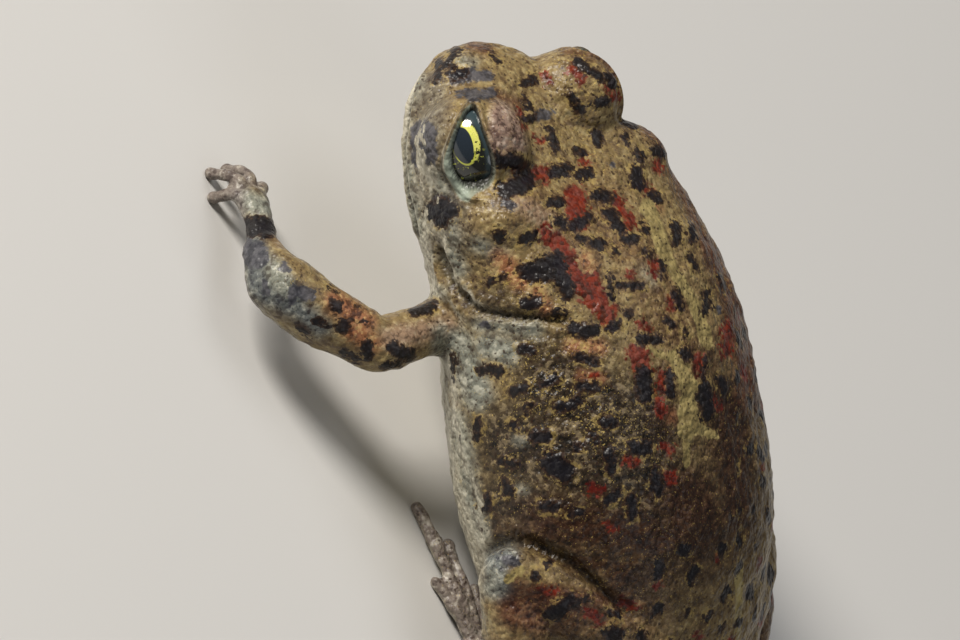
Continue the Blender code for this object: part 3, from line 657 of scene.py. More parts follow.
def opening_places(points, side):
    """Offsets of points from the middle of an eye's opening, along it and across it, over its half
    sizes; and how far out along the eye's axis they are.

    The opening is an oval whose front end is narrower: its half height there is multiplied by less.
    """
    centre, out, back, over = eye_axes(side)
    away = points - centre
    backward, upward = away @ back - OPENING_AT[0], away @ over - OPENING_AT[1]
    longways = backward * math.cos(OPENING_TURN) + upward * math.sin(OPENING_TURN)
    highways = upward * math.cos(OPENING_TURN) - backward * math.sin(OPENING_TURN)
    u = longways / OPENING_HALF[0]
    v = highways / (OPENING_HALF[1] * (1.0 - FRONT_CORNER * ease((0.6 - u) / 1.6)))
    return u, v, away @ out


def opening_depth(points, side):
    """How far inside the edge of the eye's opening points are, in mm, and how far out they are."""
    u, v, ahead = opening_places(points, side)
    power = 2.0 + 0.6 * ease(u)
    radius = (np.abs(u) ** power + np.abs(v) ** power) ** (1 / power)
    reach = np.hypot(u * OPENING_HALF[0], v * OPENING_HALF[1]).clip(0.15, 0.7)
    return (1 - radius) * reach / radius.clip(0.3), ahead


def fuse(surfaces):
    """One closed skin round overlapping forms: rebuilt on voxels, split where it is fine, drawn back on."""
    forms = place("forms", mesh_from("forms", *joined(surfaces)))
    rough = place("rough", forms.data.copy())
    voxels = rough.modifiers.new("voxels", "REMESH")
    voxels.mode = "VOXEL"
    voxels.voxel_size = VOXEL
    shape = applied(rough)
    split_near(shape, near_fine_parts)
    split_near(shape, near_lid_edges)
    skin = place("skin", shape)
    draw = skin.modifiers.new("draw", "SHRINKWRAP")
    draw.target = forms
    draw.wrap_method = "NEAREST_SURFACEPOINT"
    shape = applied(skin)
    bpy.data.objects.remove(forms)
    return triangles_of(shape)


# The share of the way to its neighbours' mean that a point slides along the skin, and that it goes out
# in a crease: on the body, how much less at the hips, on small parts and on the cheeks; and the rounds
CREASE_SLIDE = 0.1
FILL_BODY, HIPS_LESS, FILL_SMALL, FILL_ROUNDS = 0.45, 0.33, 0.05, 16
FILL_CHEEK, CHEEK_ROUNDS = 0.5, 110


class Skin:
    """Points and triangles of the skin while it is worked, with what a sculptor's tools need."""

    def __init__(self, points, faces):
        self.points, self.faces = points, faces
        sides = np.sort(np.concatenate([faces[:, [0, 1]], faces[:, [1, 2]], faces[:, [2, 0]]]), axis=1)
        self.edges = np.unique(sides, axis=0)
        self.degree = np.bincount(self.edges.ravel(), minlength=len(points))

    def around(self, values):
        """The mean of each point's neighbours."""
        a, b = self.edges.T
        total = np.empty_like(values)
        for axis in range(values.shape[1]):
            column = values[:, axis]
            total[:, axis] = np.bincount(a, column[b], len(values)) + np.bincount(b, column[a], len(values))
        return total / self.degree[:, None].clip(1)

    def normals(self):
        """Unit vectors out of the skin: the sum of the cross products of the triangles at each point."""
        a, b, c = (self.points[self.faces[:, i]] for i in range(3))
        facing = np.cross(b - a, c - a)
        total = np.zeros_like(self.points)
        for i in range(3):
            for axis in range(3):
                total[:, axis] += np.bincount(self.faces[:, i], facing[:, axis], len(total))
        return unit(total)

    def relax(self, rounds):
        """Smooths without shrinking: a step to the neighbours' mean and a slightly longer step back."""
        for _ in range(rounds):
            for share in (0.5, -0.52):
                self.points = self.points + (self.around(self.points) - self.points) * share

    def fill_creases(self, share, rounds):
        """Skin bridges a crease: where the neighbours' mean lies further out, the point goes a share of
        the way, and all points slide a little along the skin towards theirs."""
        for _ in range(rounds):
            normals = self.normals()
            pull = self.around(self.points) - self.points
            out = (pull * normals).sum(1)
            across = pull - normals * out[:, None]
            self.points = self.points + normals * (out.clip(0) * share)[:, None] + across * CREASE_SLIDE

    def raise_by(self, height):
        """Moves each point out along its normal by a height."""
        self.points = self.points + self.normals() * height[:, None]


def ripples(points, wavelength, seed, waves=28):
    """A smooth random field about 0: a sum of plane waves in random directions."""
    rng = np.random.default_rng(seed)
    ways = unit(rng.normal(size=(waves, 3))) * (2 * math.pi / wavelength) * rng.uniform(0.6, 1.5, (waves, 1))
    phase = rng.uniform(0, 2 * math.pi, waves)
    return np.sin(points @ ways.T + phase).sum(1) / math.sqrt(waves)


def ripple_vectors(points, wavelength, seeds):
    """A ripple field for each seed, side by side."""
    return np.stack([ripples(points, wavelength, seed) for seed in seeds], -1)


# The depth, in pixels, of a place that is far from every mark
NOWHERE = -60.0


def stroke_depth(spots, strokes):
    """How far inside the nearest stroke each picture place is, in pixels: half its width less the
    distance to its middle line."""
    depth = np.full(len(spots), NOWHERE)
    for x0, y0, x1, y1, width in strokes:
        start, run = np.array([x0, y0], float), np.array([x1 - x0, y1 - y0], float)
        share = (((spots - start) @ run) / (run @ run + 1e-9)).clip(0, 1)
        away = np.linalg.norm(spots - start - share[:, None] * run, axis=1)
        depth = np.maximum(depth, width / 2 - away)
    return depth


def scattered(points, allowed, spacing, seed):
    """Indices of points spread at random over an area, none nearer another than the spacing."""
    rng = np.random.default_rng(seed)
    free = allowed.copy()
    chosen = []
    while free.any():
        pick = rng.choice(np.flatnonzero(free))
        chosen.append(pick)
        free &= away_from(points, points[pick]) > spacing * rng.uniform(0.8, 1.4)
    return chosen


def blot_depth(points, centres, radii):
    """How far inside the nearest round blot each point is, in pixels."""
    depth = np.full(len(points), NOWHERE)
    for centre, radius in zip(centres, radii):
        depth = np.maximum(depth, (radius - away_from(points, centre)) * PIXELS_PER_MM)
    return depth


# In mm. How far from an eye's centre its lids are shaped, and how far under the eyeball's surface the
# skin inside the opening is pushed; the rim of a lid and the hollow outside it; how far from the mouth
# line the mouth is shaped, its groove and the lips; a nostril's pit and the ring round it.
LIDS_REACH, UNDER_EYEBALL = 1.35, 0.16
RIM_RISE, RIM_AWAY, RIM_WIDTH = 0.035, 0.06, 0.045
HOLLOW_DEPTH, HOLLOW_AWAY, HOLLOW_WIDTH = 0.03, 0.19, 0.06
MOUTH_REACH, MOUTH_DEPTH, MOUTH_WIDTH = 0.6, 0.085, 0.045
LIP_RISE, LIP_AWAY, LIP_WIDTH = 0.035, 0.12, 0.06
PIT_DEPTH, PIT_WIDTH = 0.13, 0.07
RING_RISE, RING_AWAY, RING_WIDTH = 0.03, 0.13, 0.06


def open_eyes(skin):
    """Pushes the lids' skin in, inside each opening, to just under the eyeball, and rolls its edge."""
    for side in (1, -1):
        inside, ahead = opening_depth(skin.points, side)
        away = skin.points - eye_axes(side)[0]
        reach = np.linalg.norm(away, axis=1)
        near = ease((LIDS_REACH - reach) / 0.2) * ease(ahead / 0.2)
        fall = (reach - (EYE_RADIUS - UNDER_EYEBALL)) * ease((inside + 0.01) / 0.06)
        rim = RIM_RISE * bump(inside + RIM_AWAY, RIM_WIDTH)
        roll = rim - HOLLOW_DEPTH * bump(inside + HOLLOW_AWAY, HOLLOW_WIDTH)
        skin.points = skin.points + unit(away) * ((roll - fall) * near)[:, None]


def mouth_places(points):
    """How far above the mouth line points are, in mm, and whether they are near it: 1, fading to 0."""
    along, _, up = to_body(points).T
    above = up - mouth_height(along)
    near = ease((MOUTH_END - along) / 0.25) * ease((MOUTH_REACH - np.abs(above)) / 0.2)
    return above, near


def shape_mouth(skin):
    """A groove along the mouth line and a lip on each side of it."""
    above, near = mouth_places(skin.points)
    groove = MOUTH_DEPTH * bump(above, MOUTH_WIDTH)
    lips = LIP_RISE * (bump(above - LIP_AWAY, LIP_WIDTH) + bump(above + LIP_AWAY, LIP_WIDTH))
    skin.raise_by((lips - groove) * near)


def shape_nostrils(skin):
    """A small pit with a raised ring on each side of the snout."""
    for side in (1, -1):
        away = away_from(skin.points, nostril(side))
        skin.raise_by(RING_RISE * bump(away - RING_AWAY, RING_WIDTH) - PIT_DEPTH * bump(away, PIT_WIDTH))


# How far from its ends, in pixels, a fold reaches its full depth; how high the skin beside it bulges,
# over its depth, and how far from its middle line, over its half width
FOLD_TAPER = 22.0
FOLD_BULGE, BULGE_AWAY = 0.55, 2.2
# Folds of the skin: picture places along each, its depth and its half width in mm
FOLDS = [
    ([(438, 240), (445, 266), (454, 286), (470, 304), (490, 313), (518, 316), (575, 322)], 0.14, 0.065),
    ([(455, 193), (463, 202), (475, 206), (492, 210)], 0.05, 0.045),
    ([(470, 282), (492, 290), (520, 292)], 0.03, 0.05),
    ([(446, 335), (444, 380), (449, 420), (463, 470), (482, 515)], 0.04, 0.07),
    ([(500, 109), (509, 108), (519, 113)], 0.03, 0.04),
    ([(484, 556), (496, 544), (514, 538), (538, 543), (568, 560), (602, 588), (640, 622)], 0.09, 0.08),
]


def fold_heights(spots):
    """Grooves along the folds, with the skin bulging beside them; and how deep in a fold each point is,
    which sets the painted shade there.
    """
    height, inside = np.zeros((2, len(spots)))
    for line, depth, width in FOLDS:
        strokes = [(*a, *b, 0.0) for a, b in zip(line, line[1:])]
        away = -stroke_depth(spots, strokes) / PIXELS_PER_MM
        for end in (line[0], line[-1]):
            depth = depth * ease(away_from(spots, end) / FOLD_TAPER)
        height += depth * (FOLD_BULGE * bump(away - BULGE_AWAY * width, width) - bump(away, width))
        inside = np.maximum(inside, bump(away, 0.9 * width) * (depth / 0.1).clip(0, 1))
    return height, inside


def mirror_image(points, trunkness):
    """The places on the other side of the body: limbs mirrored in the world, the trunk in itself."""
    places = to_body(points)
    trunk_image = to_world(places * (1, -1, 1))
    arm = [station[0] for station in (SHOULDER, UPPER_ARM, ELBOW, FOREARM[0])]
    moved = np.interp(np.abs(points[:, 0]), arm, (0.0, UPPER_ARM_SHARE, ELBOW_SHARE, 1.0))
    moved = ease(ARMS_TO - points[:, 1]) * moved
    limb_image = points * (-1, 1, 1)
    limb_image[:, :2] -= moved[:, None] * RIGHT_HAND_SHIFT
    return trunk_image * trunkness[:, None] + limb_image * (1 - trunkness[:, None])


# The trunk reaches this far past its sections' edge in mm, and fades out at this many of their radii.
# All of the body ahead of this and above this height is head.
TRUNK_MARGIN, TRUNK_EDGE = 0.05, 1.35
HEAD_END, HEAD_HEIGHT = 3.0, 1.3


def trunk_share(points):
    """1 on the head and trunk, 0 on the limbs: from the superellipse radius of the point's section."""
    along, left, up = to_body(points).T
    half, middle, height = trunk_section(along.clip(TRUNK_MARGIN, BODY_LENGTH - TRUNK_MARGIN))
    wide = np.abs(left / (half + TRUNK_MARGIN)) ** TRUNK_SQUARENESS
    high = np.abs((up - middle) / (height + TRUNK_MARGIN)) ** TRUNK_SQUARENESS
    radius = (wide + high) ** (1 / TRUNK_SQUARENESS)
    head = ease((HEAD_END - along) / 0.3) * ease((points[:, 2] - HEAD_HEIGHT) / 0.3)
    return np.maximum(ease((TRUNK_EDGE - radius) / 0.25), head)


# The random shift of the far side's markings, in mm, and of the edges of near and far marks, in pixels
FAR_DRIFT = 0.16
WOBBLE, FAR_WOBBLE = 1.1, 1.6


class Pattern:
    """Where each point of the skin reads the markings.

    A point seen in the photo reads its own picture place. One on the far side reads the place of
    its mirror image, shifted a little at random so that the two sides aren't alike.
    """

    def __init__(self, points, normals):
        self.points, self.normals = points, normals
        self.trunk = trunk_share(points)
        self.seen = ease((normals @ TOWARDS + 0.30) / 0.25)
        self.own = picture_places(points)
        drift = ripple_vectors(points, 2.2, (31, 32, 33))
        self.mirrored = picture_places(mirror_image(points, self.trunk) + drift * FAR_DRIFT)
        wobble = ripple_vectors(points, 0.42, (34, 35))
        self.own = self.own + wobble * WOBBLE
        self.mirrored = self.mirrored + wobble * FAR_WOBBLE

    def read(self, rule, *more):
        """What a rule says of the own places, fading into what it says of the mirror image's."""
        own, far = (np.array(rule(spots, *more)) for spots in (self.own, self.mirrored))
        return own * self.seen + far * (1 - self.seen)

    def depth(self, strokes):
        """Depth inside the strokes."""
        return self.read(stroke_depth, strokes)

    def folds(self):
        """The height that the folds give each point, and how deep in one it is; none on the belly."""
        return self.read(fold_heights) * ease((self.normals[:, 2] + 0.65) / 0.3)

    def soft(self, strokes, softness):
        """A share from 0 to 1 that fades out round the strokes."""
        return ease((self.depth(strokes) + softness) / (2 * softness))


# Warts stand this far apart or more, with radii from and to and heights over their radii from and to
WART_SPACING = 0.30
WART_RADII, WART_HEIGHTS = (0.06, 0.11), (0.10, 0.26)
# Heights of the granules, of a black spot and of the low uneven lumps
GRANULE_HEIGHT, SPOT_RISE, LUMP_HEIGHT = 0.005, 0.02, 0.016


def add_warts(skin, pattern):
    """Low round warts, smaller on the head; returns their height and how much of a wart each point is."""
    height, share = np.zeros((2, len(skin.points)))
    rng = np.random.default_rng(7)
    size_by_place = 0.75 + 0.5 * ease((to_body(skin.points)[:, 0] - 2.0) / 3.0)
    warty = (pattern.trunk > 0.5) | (skin.points[:, 2] > SMALL_HEIGHT)
    for pick in scattered(skin.points, warty, WART_SPACING, 8):
        radius = rng.uniform(*WART_RADII) * size_by_place[pick]
        hill = bump(away_from(skin.points, skin.points[pick]), radius)
        height += hill * radius * rng.uniform(*WART_HEIGHTS)
        share = np.maximum(share, hill)
    return height, share


# In mm: how far out the dark edge of a lid reaches, half the width of the line under the pale lid, how
# wide the pale lid is in front, and how much wider at the rear
LID_EDGE, LID_LINE = 0.045, 0.03
PALE_FRONT, PALE_REAR = 0.035, 0.12


def lid_shares(points):
    """How much of each point is pale lower lid (partly a painted glint up the eye's rear side), dark edge of
    a lid, and skin close round an eye.
    """
    pale, dark, near = np.zeros((3, len(points)))
    for side in (1, -1):
        u, v, ahead = opening_places(points, side)
        inside = opening_depth(points, side)[0]
        front = ease(ahead / 0.1)
        lower = ease((0.2 - v) / 0.5)
        rear = ease((u + 0.3) / 0.9)
        width = PALE_FRONT + PALE_REAR * rear * lower
        # Up the rear side of the eye the pale is partly a painted reflection: a wet glint along the lid's
        # edge
        pale = np.maximum(pale, ease((inside + width) / 0.035) * np.maximum(lower, rear * 0.8) * front)
        upper_edge = ease((inside + LID_EDGE) / 0.04) * (1 - lower) * (1 - rear * 0.5)
        inner_edge = ease((inside - 0.005) / 0.03)
        line = 0.7 * bump(inside + width + 0.035, LID_LINE) * lower
        dark = np.maximum.reduce([dark, upper_edge * front, inner_edge * front, line * front])
        near = np.maximum(near, ease((inside + 0.25) / 0.15) * front)
    return pale, dark, near


def rough_skin():
    """The skin before it is sculpted: trunk, lids and limbs fused, and smoothed a little."""
    surfaces = [trunk()]
    still = (0.0, 0.0)
    for side, hand_shift, foot_shift in ((1, still, still), (-1, RIGHT_HAND_SHIFT, RIGHT_FOOT_SHIFT)):
        centre, *axes = eye_axes(side)
        surfaces.append(sphere(centre, LID_RADIUS, *axes))
        surfaces += fore_limb(side, hand_shift)
        surfaces += hind_limb(side, foot_shift)
    skin = Skin(*fuse(surfaces))
    skin.relax(3)
    return skin


def cheek_shares(points):
    """1 under each eye and a half behind it, fading to 0 away from it."""
    share = np.zeros(len(points))
    for side in (1, -1):
        centre, _, back, over = eye_axes(side)
        away = points - centre
        reach = np.linalg.norm(away, axis=1)
        share += ease((1.6 - reach) / 0.4) * ease((-(away @ over) - 0.1) / 0.5)
        share += 0.5 * ease((1.7 - reach) / 0.4) * ease(((away @ back) - 0.4) / 0.4)
    return share.clip(0, 1)


def fill_skin(skin, small):
    """Fills the creases between the forms: less at the hips and on the small parts, most on the cheeks."""
    hips = ease((skin.points[:, 1] + 1.6) / 0.6)
    cheek = cheek_shares(skin.points)
    skin.fill_creases(np.where(small, FILL_SMALL, FILL_BODY - HIPS_LESS * hips), FILL_ROUNDS)
    skin.fill_creases(cheek * FILL_CHEEK, CHEEK_ROUNDS)
    skin.relax(2)


def roughen(skin, pattern, small):
    """Raises warts, granules, lumps and black spots, less on the small parts and none at an eye's edge;
    returns how much of a wart each point is."""
    black = pattern.depth(BLACK_MARKS)
    wart_height, wart_share = add_warts(skin, pattern)
    grain = ripples(skin.points, 0.22, 5) + ripples(skin.points, 0.38, 6)
    lumps = ripples(skin.points, 0.9, 9) * LUMP_HEIGHT
    calm = (1 - lid_shares(skin.points)[2]) * np.where(small, 0.3, 1.0)
    skin.raise_by((wart_height + SPOT_RISE * ease((black + 1) / 6) + GRANULE_HEIGHT * grain + lumps) * calm)
    return wart_share


def model_skin():
    """The whole skin, sculpted and painted, as an object."""
    skin = rough_skin()
    low = (skin.points[:, 2] < SMALL_HEIGHT) & (to_body(skin.points)[:, 2] < SMALL_UP)
    small = low & (trunk_share(skin.points) < 0.5)
    fill_skin(skin, small)
    shape_mouth(skin)
    shape_nostrils(skin)
    pattern = Pattern(skin.points, skin.normals())
    skin.raise_by(pattern.folds()[0] * np.where(pattern.trunk > 0.3, 1.0, 0.3))
    wart_share = roughen(skin, pattern, small)
    open_eyes(skin)
    skin.points[:, 2] = skin.points[:, 2].clip(0.0)
    print("skin:", len(skin.points), "points,", len(skin.faces), "triangles")

    shape = mesh_from("toad_skin", skin.points * MM, skin.faces)
    paint_skin(shape, skin, wart_share)
    return place("toad_skin", shape)


# Where the rump starts, in mm along; and the thin line down it: half its width, and how far right it is
RUMP_FROM = 8.8
RUMP_LINE_HALF, RUMP_LINE_RIGHT = 0.14, 0.1
# Where the photo stops showing the toad, in pixels: past the knee, past the back's last column, and
# right of and below the place beside the thigh
KNEE_END = (700, 650)
BACK_END = 725
THIGH_END = (640, 530)
# The skin of hands and feet: a limb's below the first height, and all but the undersides below the second
HAND_HEIGHT, FOOT_HEIGHT = 0.85, 0.50
# Marks that chance places where the photo shows no skin: least distance between their middles, their
# radii from and to, and the seed of their places
CHANCE_SPOTS = (0.48, (0.08, 0.20), 22)
CHANCE_EMBERS = (0.95, (0.08, 0.18), 23)
CHANCE_SPECKS = (0.8, (0.03, 0.10), 24)
CHANCE_RAGGEDNESS = 0.05


def paint(shape, name, *columns):
    """Stores up to four values a point as one colour attribute."""
    layer = shape.attributes.new(name, "FLOAT_COLOR", "POINT")
    values = np.zeros((len(shape.vertices), 4), np.float32)
    for i, column in enumerate(columns):
        values[:, i] = column
    layer.data.foreach_set("color", values.ravel())


def skin_regions(pattern):
    """Shares of the skin: facing down, belly, rump, not seen in the photo, and on hands and feet."""
    points, limb = pattern.points, 1 - pattern.trunk
    along, height = to_body(points)[:, 0], points[:, 2]
    own_x, own_y = pattern.own.T
    below = ease((-pattern.normals[:, 2] - 0.15) / 0.55)
    chin = ease(-mouth_places(points)[0] / 0.06) * ease((1.3 - along) / 0.5)
    belly = np.maximum(below, chin) * pattern.trunk
    rump = ease((along - RUMP_FROM) / 1.6) * pattern.trunk * (1 - below)
    legs = limb * ease((points[:, 1] - LEGS_FROM) / 0.5)
    knee = ease((KNEE_END[1] - own_y) / 20) * ease((KNEE_END[0] - own_x) / 40) * pattern.seen
    past_thigh = np.minimum(own_y - THIGH_END[1], own_x - THIGH_END[0])
    far_edge = ease(np.maximum(own_x - BACK_END, past_thigh) / 20) * pattern.seen
    unseen = np.maximum.reduce([rump, legs * (1 - knee), far_edge * pattern.trunk])
    hands = ease((HAND_HEIGHT - height) / 0.25) * limb
    hands = np.maximum(hands, ease((FOOT_HEIGHT - height) / 0.12) * (1 - below))
    return below, belly, rump, unseen, hands


def paint_tones(shape, pattern, regions):
    """Stores the sorts of skin as three colours a point, darkened in the folds as painted shade, with the
    depth in the olive stripe as the fourth value of each."""
    below, belly, rump, unseen, hands = regions
    limb = 1 - pattern.trunk
    tones = np.broadcast_to(np.array(KHAKI_SKIN), (len(limb), 3, 3)).copy()
    layers = [(pattern.soft(strokes, softness), kind) for strokes, softness, kind in ZONES]
    layers += [
        (unseen * limb, LEG_SKIN),
        (rump * 0.7, KHAKI_SKIN),
        (below * limb * 0.35, PALE_SKIN),
        (hands * 0.85, DIGIT_SKIN),
        (belly, BELLY_SKIN),
    ]
    for share, kind in layers:
        share = share[:, None, None]
        tones = tones * (1 - share) + np.array(kind) * share
    # Painted shade: every tone darker towards the bottom of each fold
    tones *= (1 - 0.8 * pattern.folds()[1])[:, None, None]
    stripe = np.where(np.maximum(unseen, belly) < 0.5, pattern.depth(OLIVE_AREAS), NOWHERE)
    left = to_body(pattern.points)[:, 1]
    midline = (RUMP_LINE_HALF - np.abs(left + RUMP_LINE_RIGHT)) * PIXELS_PER_MM
    stripe = np.maximum(stripe, np.where(rump > 0.5, midline, NOWHERE))
    for i, name in enumerate(("dark_tone", "middle_tone", "light_tone")):
        paint(shape, name, *tones[:, i].T, stripe)


def chance_blots(points, shifted, allowed, marks, rng):
    """Depth inside round blots that chance puts over an area."""
    spacing, radii, seed = marks
    centres = scattered(points, allowed, spacing, seed)
    return blot_depth(shifted, points[centres], rng.uniform(*radii, len(centres)))


def paint_marks(shape, pattern, regions):
    """Stores the depths inside the black, slate and red marks, and the share of gold flecks.

    The marks are the photo's where it shows the skin. Elsewhere chance places them.
    """
    _, belly, _, unseen, _ = regions
    points = pattern.points
    rng = np.random.default_rng(21)
    shifted = points + CHANCE_RAGGEDNESS * ripple_vectors(points, 0.5, (41, 42, 43))
    spots = chance_blots(points, shifted, unseen > 0.5, CHANCE_SPOTS, rng)
    embers = chance_blots(points, shifted, unseen > 0.5, CHANCE_EMBERS, rng)
    specks = chance_blots(points, points, belly > 0.6, CHANCE_SPECKS, rng)
    known = np.maximum(unseen, belly) < 0.5
    black = np.where(known, pattern.depth(BLACK_MARKS), np.where(belly > 0.5, specks, spots))
    slate = np.where(known, pattern.depth(SLATE_MARKS), NOWHERE)
    red = np.where(known, pattern.depth(RED_MARKS), np.where(belly > 0.5, NOWHERE, embers))
    paint(shape, "marks", black, slate, red, pattern.soft(GLITTER_AREAS, 16) * (1 - belly))


def paint_skin(shape, skin, wart_share):
    """Stores all that the skin's finish reads from its points."""
    pattern = Pattern(skin.points, skin.normals())
    regions = skin_regions(pattern)
    paint_tones(shape, pattern, regions)
    paint_marks(shape, pattern, regions)
    above, near = mouth_places(skin.points)
    pale_lid_and_glint, dark_lid, _ = lid_shares(skin.points)
    dark_lid = np.maximum(dark_lid, 0.85 * bump(above, 0.9 * MOUTH_WIDTH) * near)
    plain = np.maximum(regions[1], 0.85 * (1 - pattern.trunk))
    paint(shape, "parts", pale_lid_and_glint, dark_lid, wart_share, plain)


# Colours of the markings and the floor
GOLD = (0.52, 0.38, 0.11)
OLIVE = (0.170, 0.128, 0.050)
OLIVE_PALE = (0.350, 0.275, 0.110)
GOLD_DULL = (0.300, 0.215, 0.070)
SPOT_BLACK = (0.006, 0.004, 0.005)
SPOT_EDGE = (0.035, 0.018, 0.011)
SPOT_BLUE = (0.010, 0.011, 0.017)
SLATE = (0.082, 0.080, 0.092)
SLATE_DARK = (0.030, 0.030, 0.038)
RED = (0.085, 0.006, 0.003)
RED_BRIGHT = (0.175, 0.013, 0.003)
RED_DARK = (0.028, 0.004, 0.003)
# Painted highlights on the red marks' granules
RED_GRANULE_HIGHLIGHT = (0.190, 0.038, 0.024)
# Pale lower lid, partly a painted glint up the eye's rear side
LID_PALE_AND_GLINT = (0.300, 0.350, 0.285)
LID_DARK = (0.016, 0.015, 0.014)
FLOOR_COLOUR = (0.68, 0.67, 0.65)


class Finish:
    """A node material built up from named steps. Its patterns are laid out in mm of the object."""

    def __init__(self, name):
        self.material = bpy.data.materials.new(name)
        self.material.use_nodes = True
        self.tree = self.material.node_tree
        self.shader = self.tree.nodes["Principled BSDF"]
        scaled = self.new("ShaderNodeVectorMath", operation="SCALE")
        self.give(scaled.inputs[0], self.new("ShaderNodeTexCoord").outputs["Object"])
        self.give(scaled.inputs["Scale"], 1 / MM)
        self.place = scaled.outputs["Vector"]

    def new(self, kind, **settings):
        """A node of a kind, with its settings."""
        node = self.tree.nodes.new(kind)
        for name, value in settings.items():
            setattr(node, name, value)
        return node

    def give(self, socket, value):
        """Links a socket to another's output, or sets its number or colour."""
        if isinstance(value, bpy.types.NodeSocket):
            self.tree.links.new(value, socket)
        elif isinstance(value, tuple) and len(socket.default_value) == 4:
            socket.default_value = (*value, 1.0)
        else:
            socket.default_value = value

    def set(self, node, **values):
        """Gives a node's inputs their values; an underscore in a name stands for a space."""
        for name, value in values.items():
            self.give(node.inputs[name.replace("_", " ")], value)

    def math(self, operation, a, b=0.0):
        """One step of arithmetic, on numbers or on other nodes' outputs."""
        node = self.new("ShaderNodeMath", operation=operation)
        self.give(node.inputs[0], a)
        self.give(node.inputs[1], b)
        return node.outputs[0]

    def plus(self, *values):
        """The values added together."""
        return reduce(lambda a, b: self.math("ADD", a, b), values)

    def times(self, *values):
        """The values multiplied together."""
        return reduce(lambda a, b: self.math("MULTIPLY", a, b), values)

    def less(self, a, b):
        """The first value less the second."""
        return self.math("SUBTRACT", a, b)

    def mix(self, share, a, b):
        """The first colour where the share is 0, the second where it is 1."""
        node = self.new("ShaderNodeMix", data_type="RGBA")
        for socket, value in zip((node.inputs[0], node.inputs[6], node.inputs[7]), (share, a, b)):
            self.give(socket, value)
        return node.outputs[2]

    def laid(self, under, colour, *shares):
        """A colour laid over another by the product of some shares."""
        return self.mix(self.times(*shares), under, colour)

    def step(self, value, low, high):
        """0 at low, 1 at high, eased between."""
        node = self.new("ShaderNodeMapRange", interpolation_type="SMOOTHSTEP")
        for socket, number in zip(node.inputs, (value, low, high)):
            self.give(socket, number)
        return node.outputs[0]

    def noise(self, scale, detail, roughness):
        """Clouds from 0 to 1, about so many to a mm."""
        node = self.new("ShaderNodeTexNoise")
        self.set(node, Vector=self.place, Scale=scale, Detail=detail, Roughness=roughness)
        return node.outputs["Fac"]

    def cells(self, scale):
        """Distance to the middle of the nearest cell, and three numbers that each cell has by chance."""
        node = self.new("ShaderNodeTexVoronoi")
        self.set(node, Vector=self.place, Scale=scale)
        chance = self.new("ShaderNodeSeparateColor")
        self.give(chance.inputs[0], node.outputs["Color"])
        return (node.outputs["Distance"], *chance.outputs)

    def colour(self, name):
        """The colour stored under a name on the mesh."""
        return self.new("ShaderNodeAttribute", attribute_name=name).outputs["Color"]

    def attribute(self, name):
        """The four values stored under a name on the mesh."""
        node = self.new("ShaderNodeAttribute", attribute_name=name)
        parts = self.new("ShaderNodeSeparateColor")
        self.give(parts.inputs[0], node.outputs["Color"])
        return (*parts.outputs, node.outputs["Alpha"])


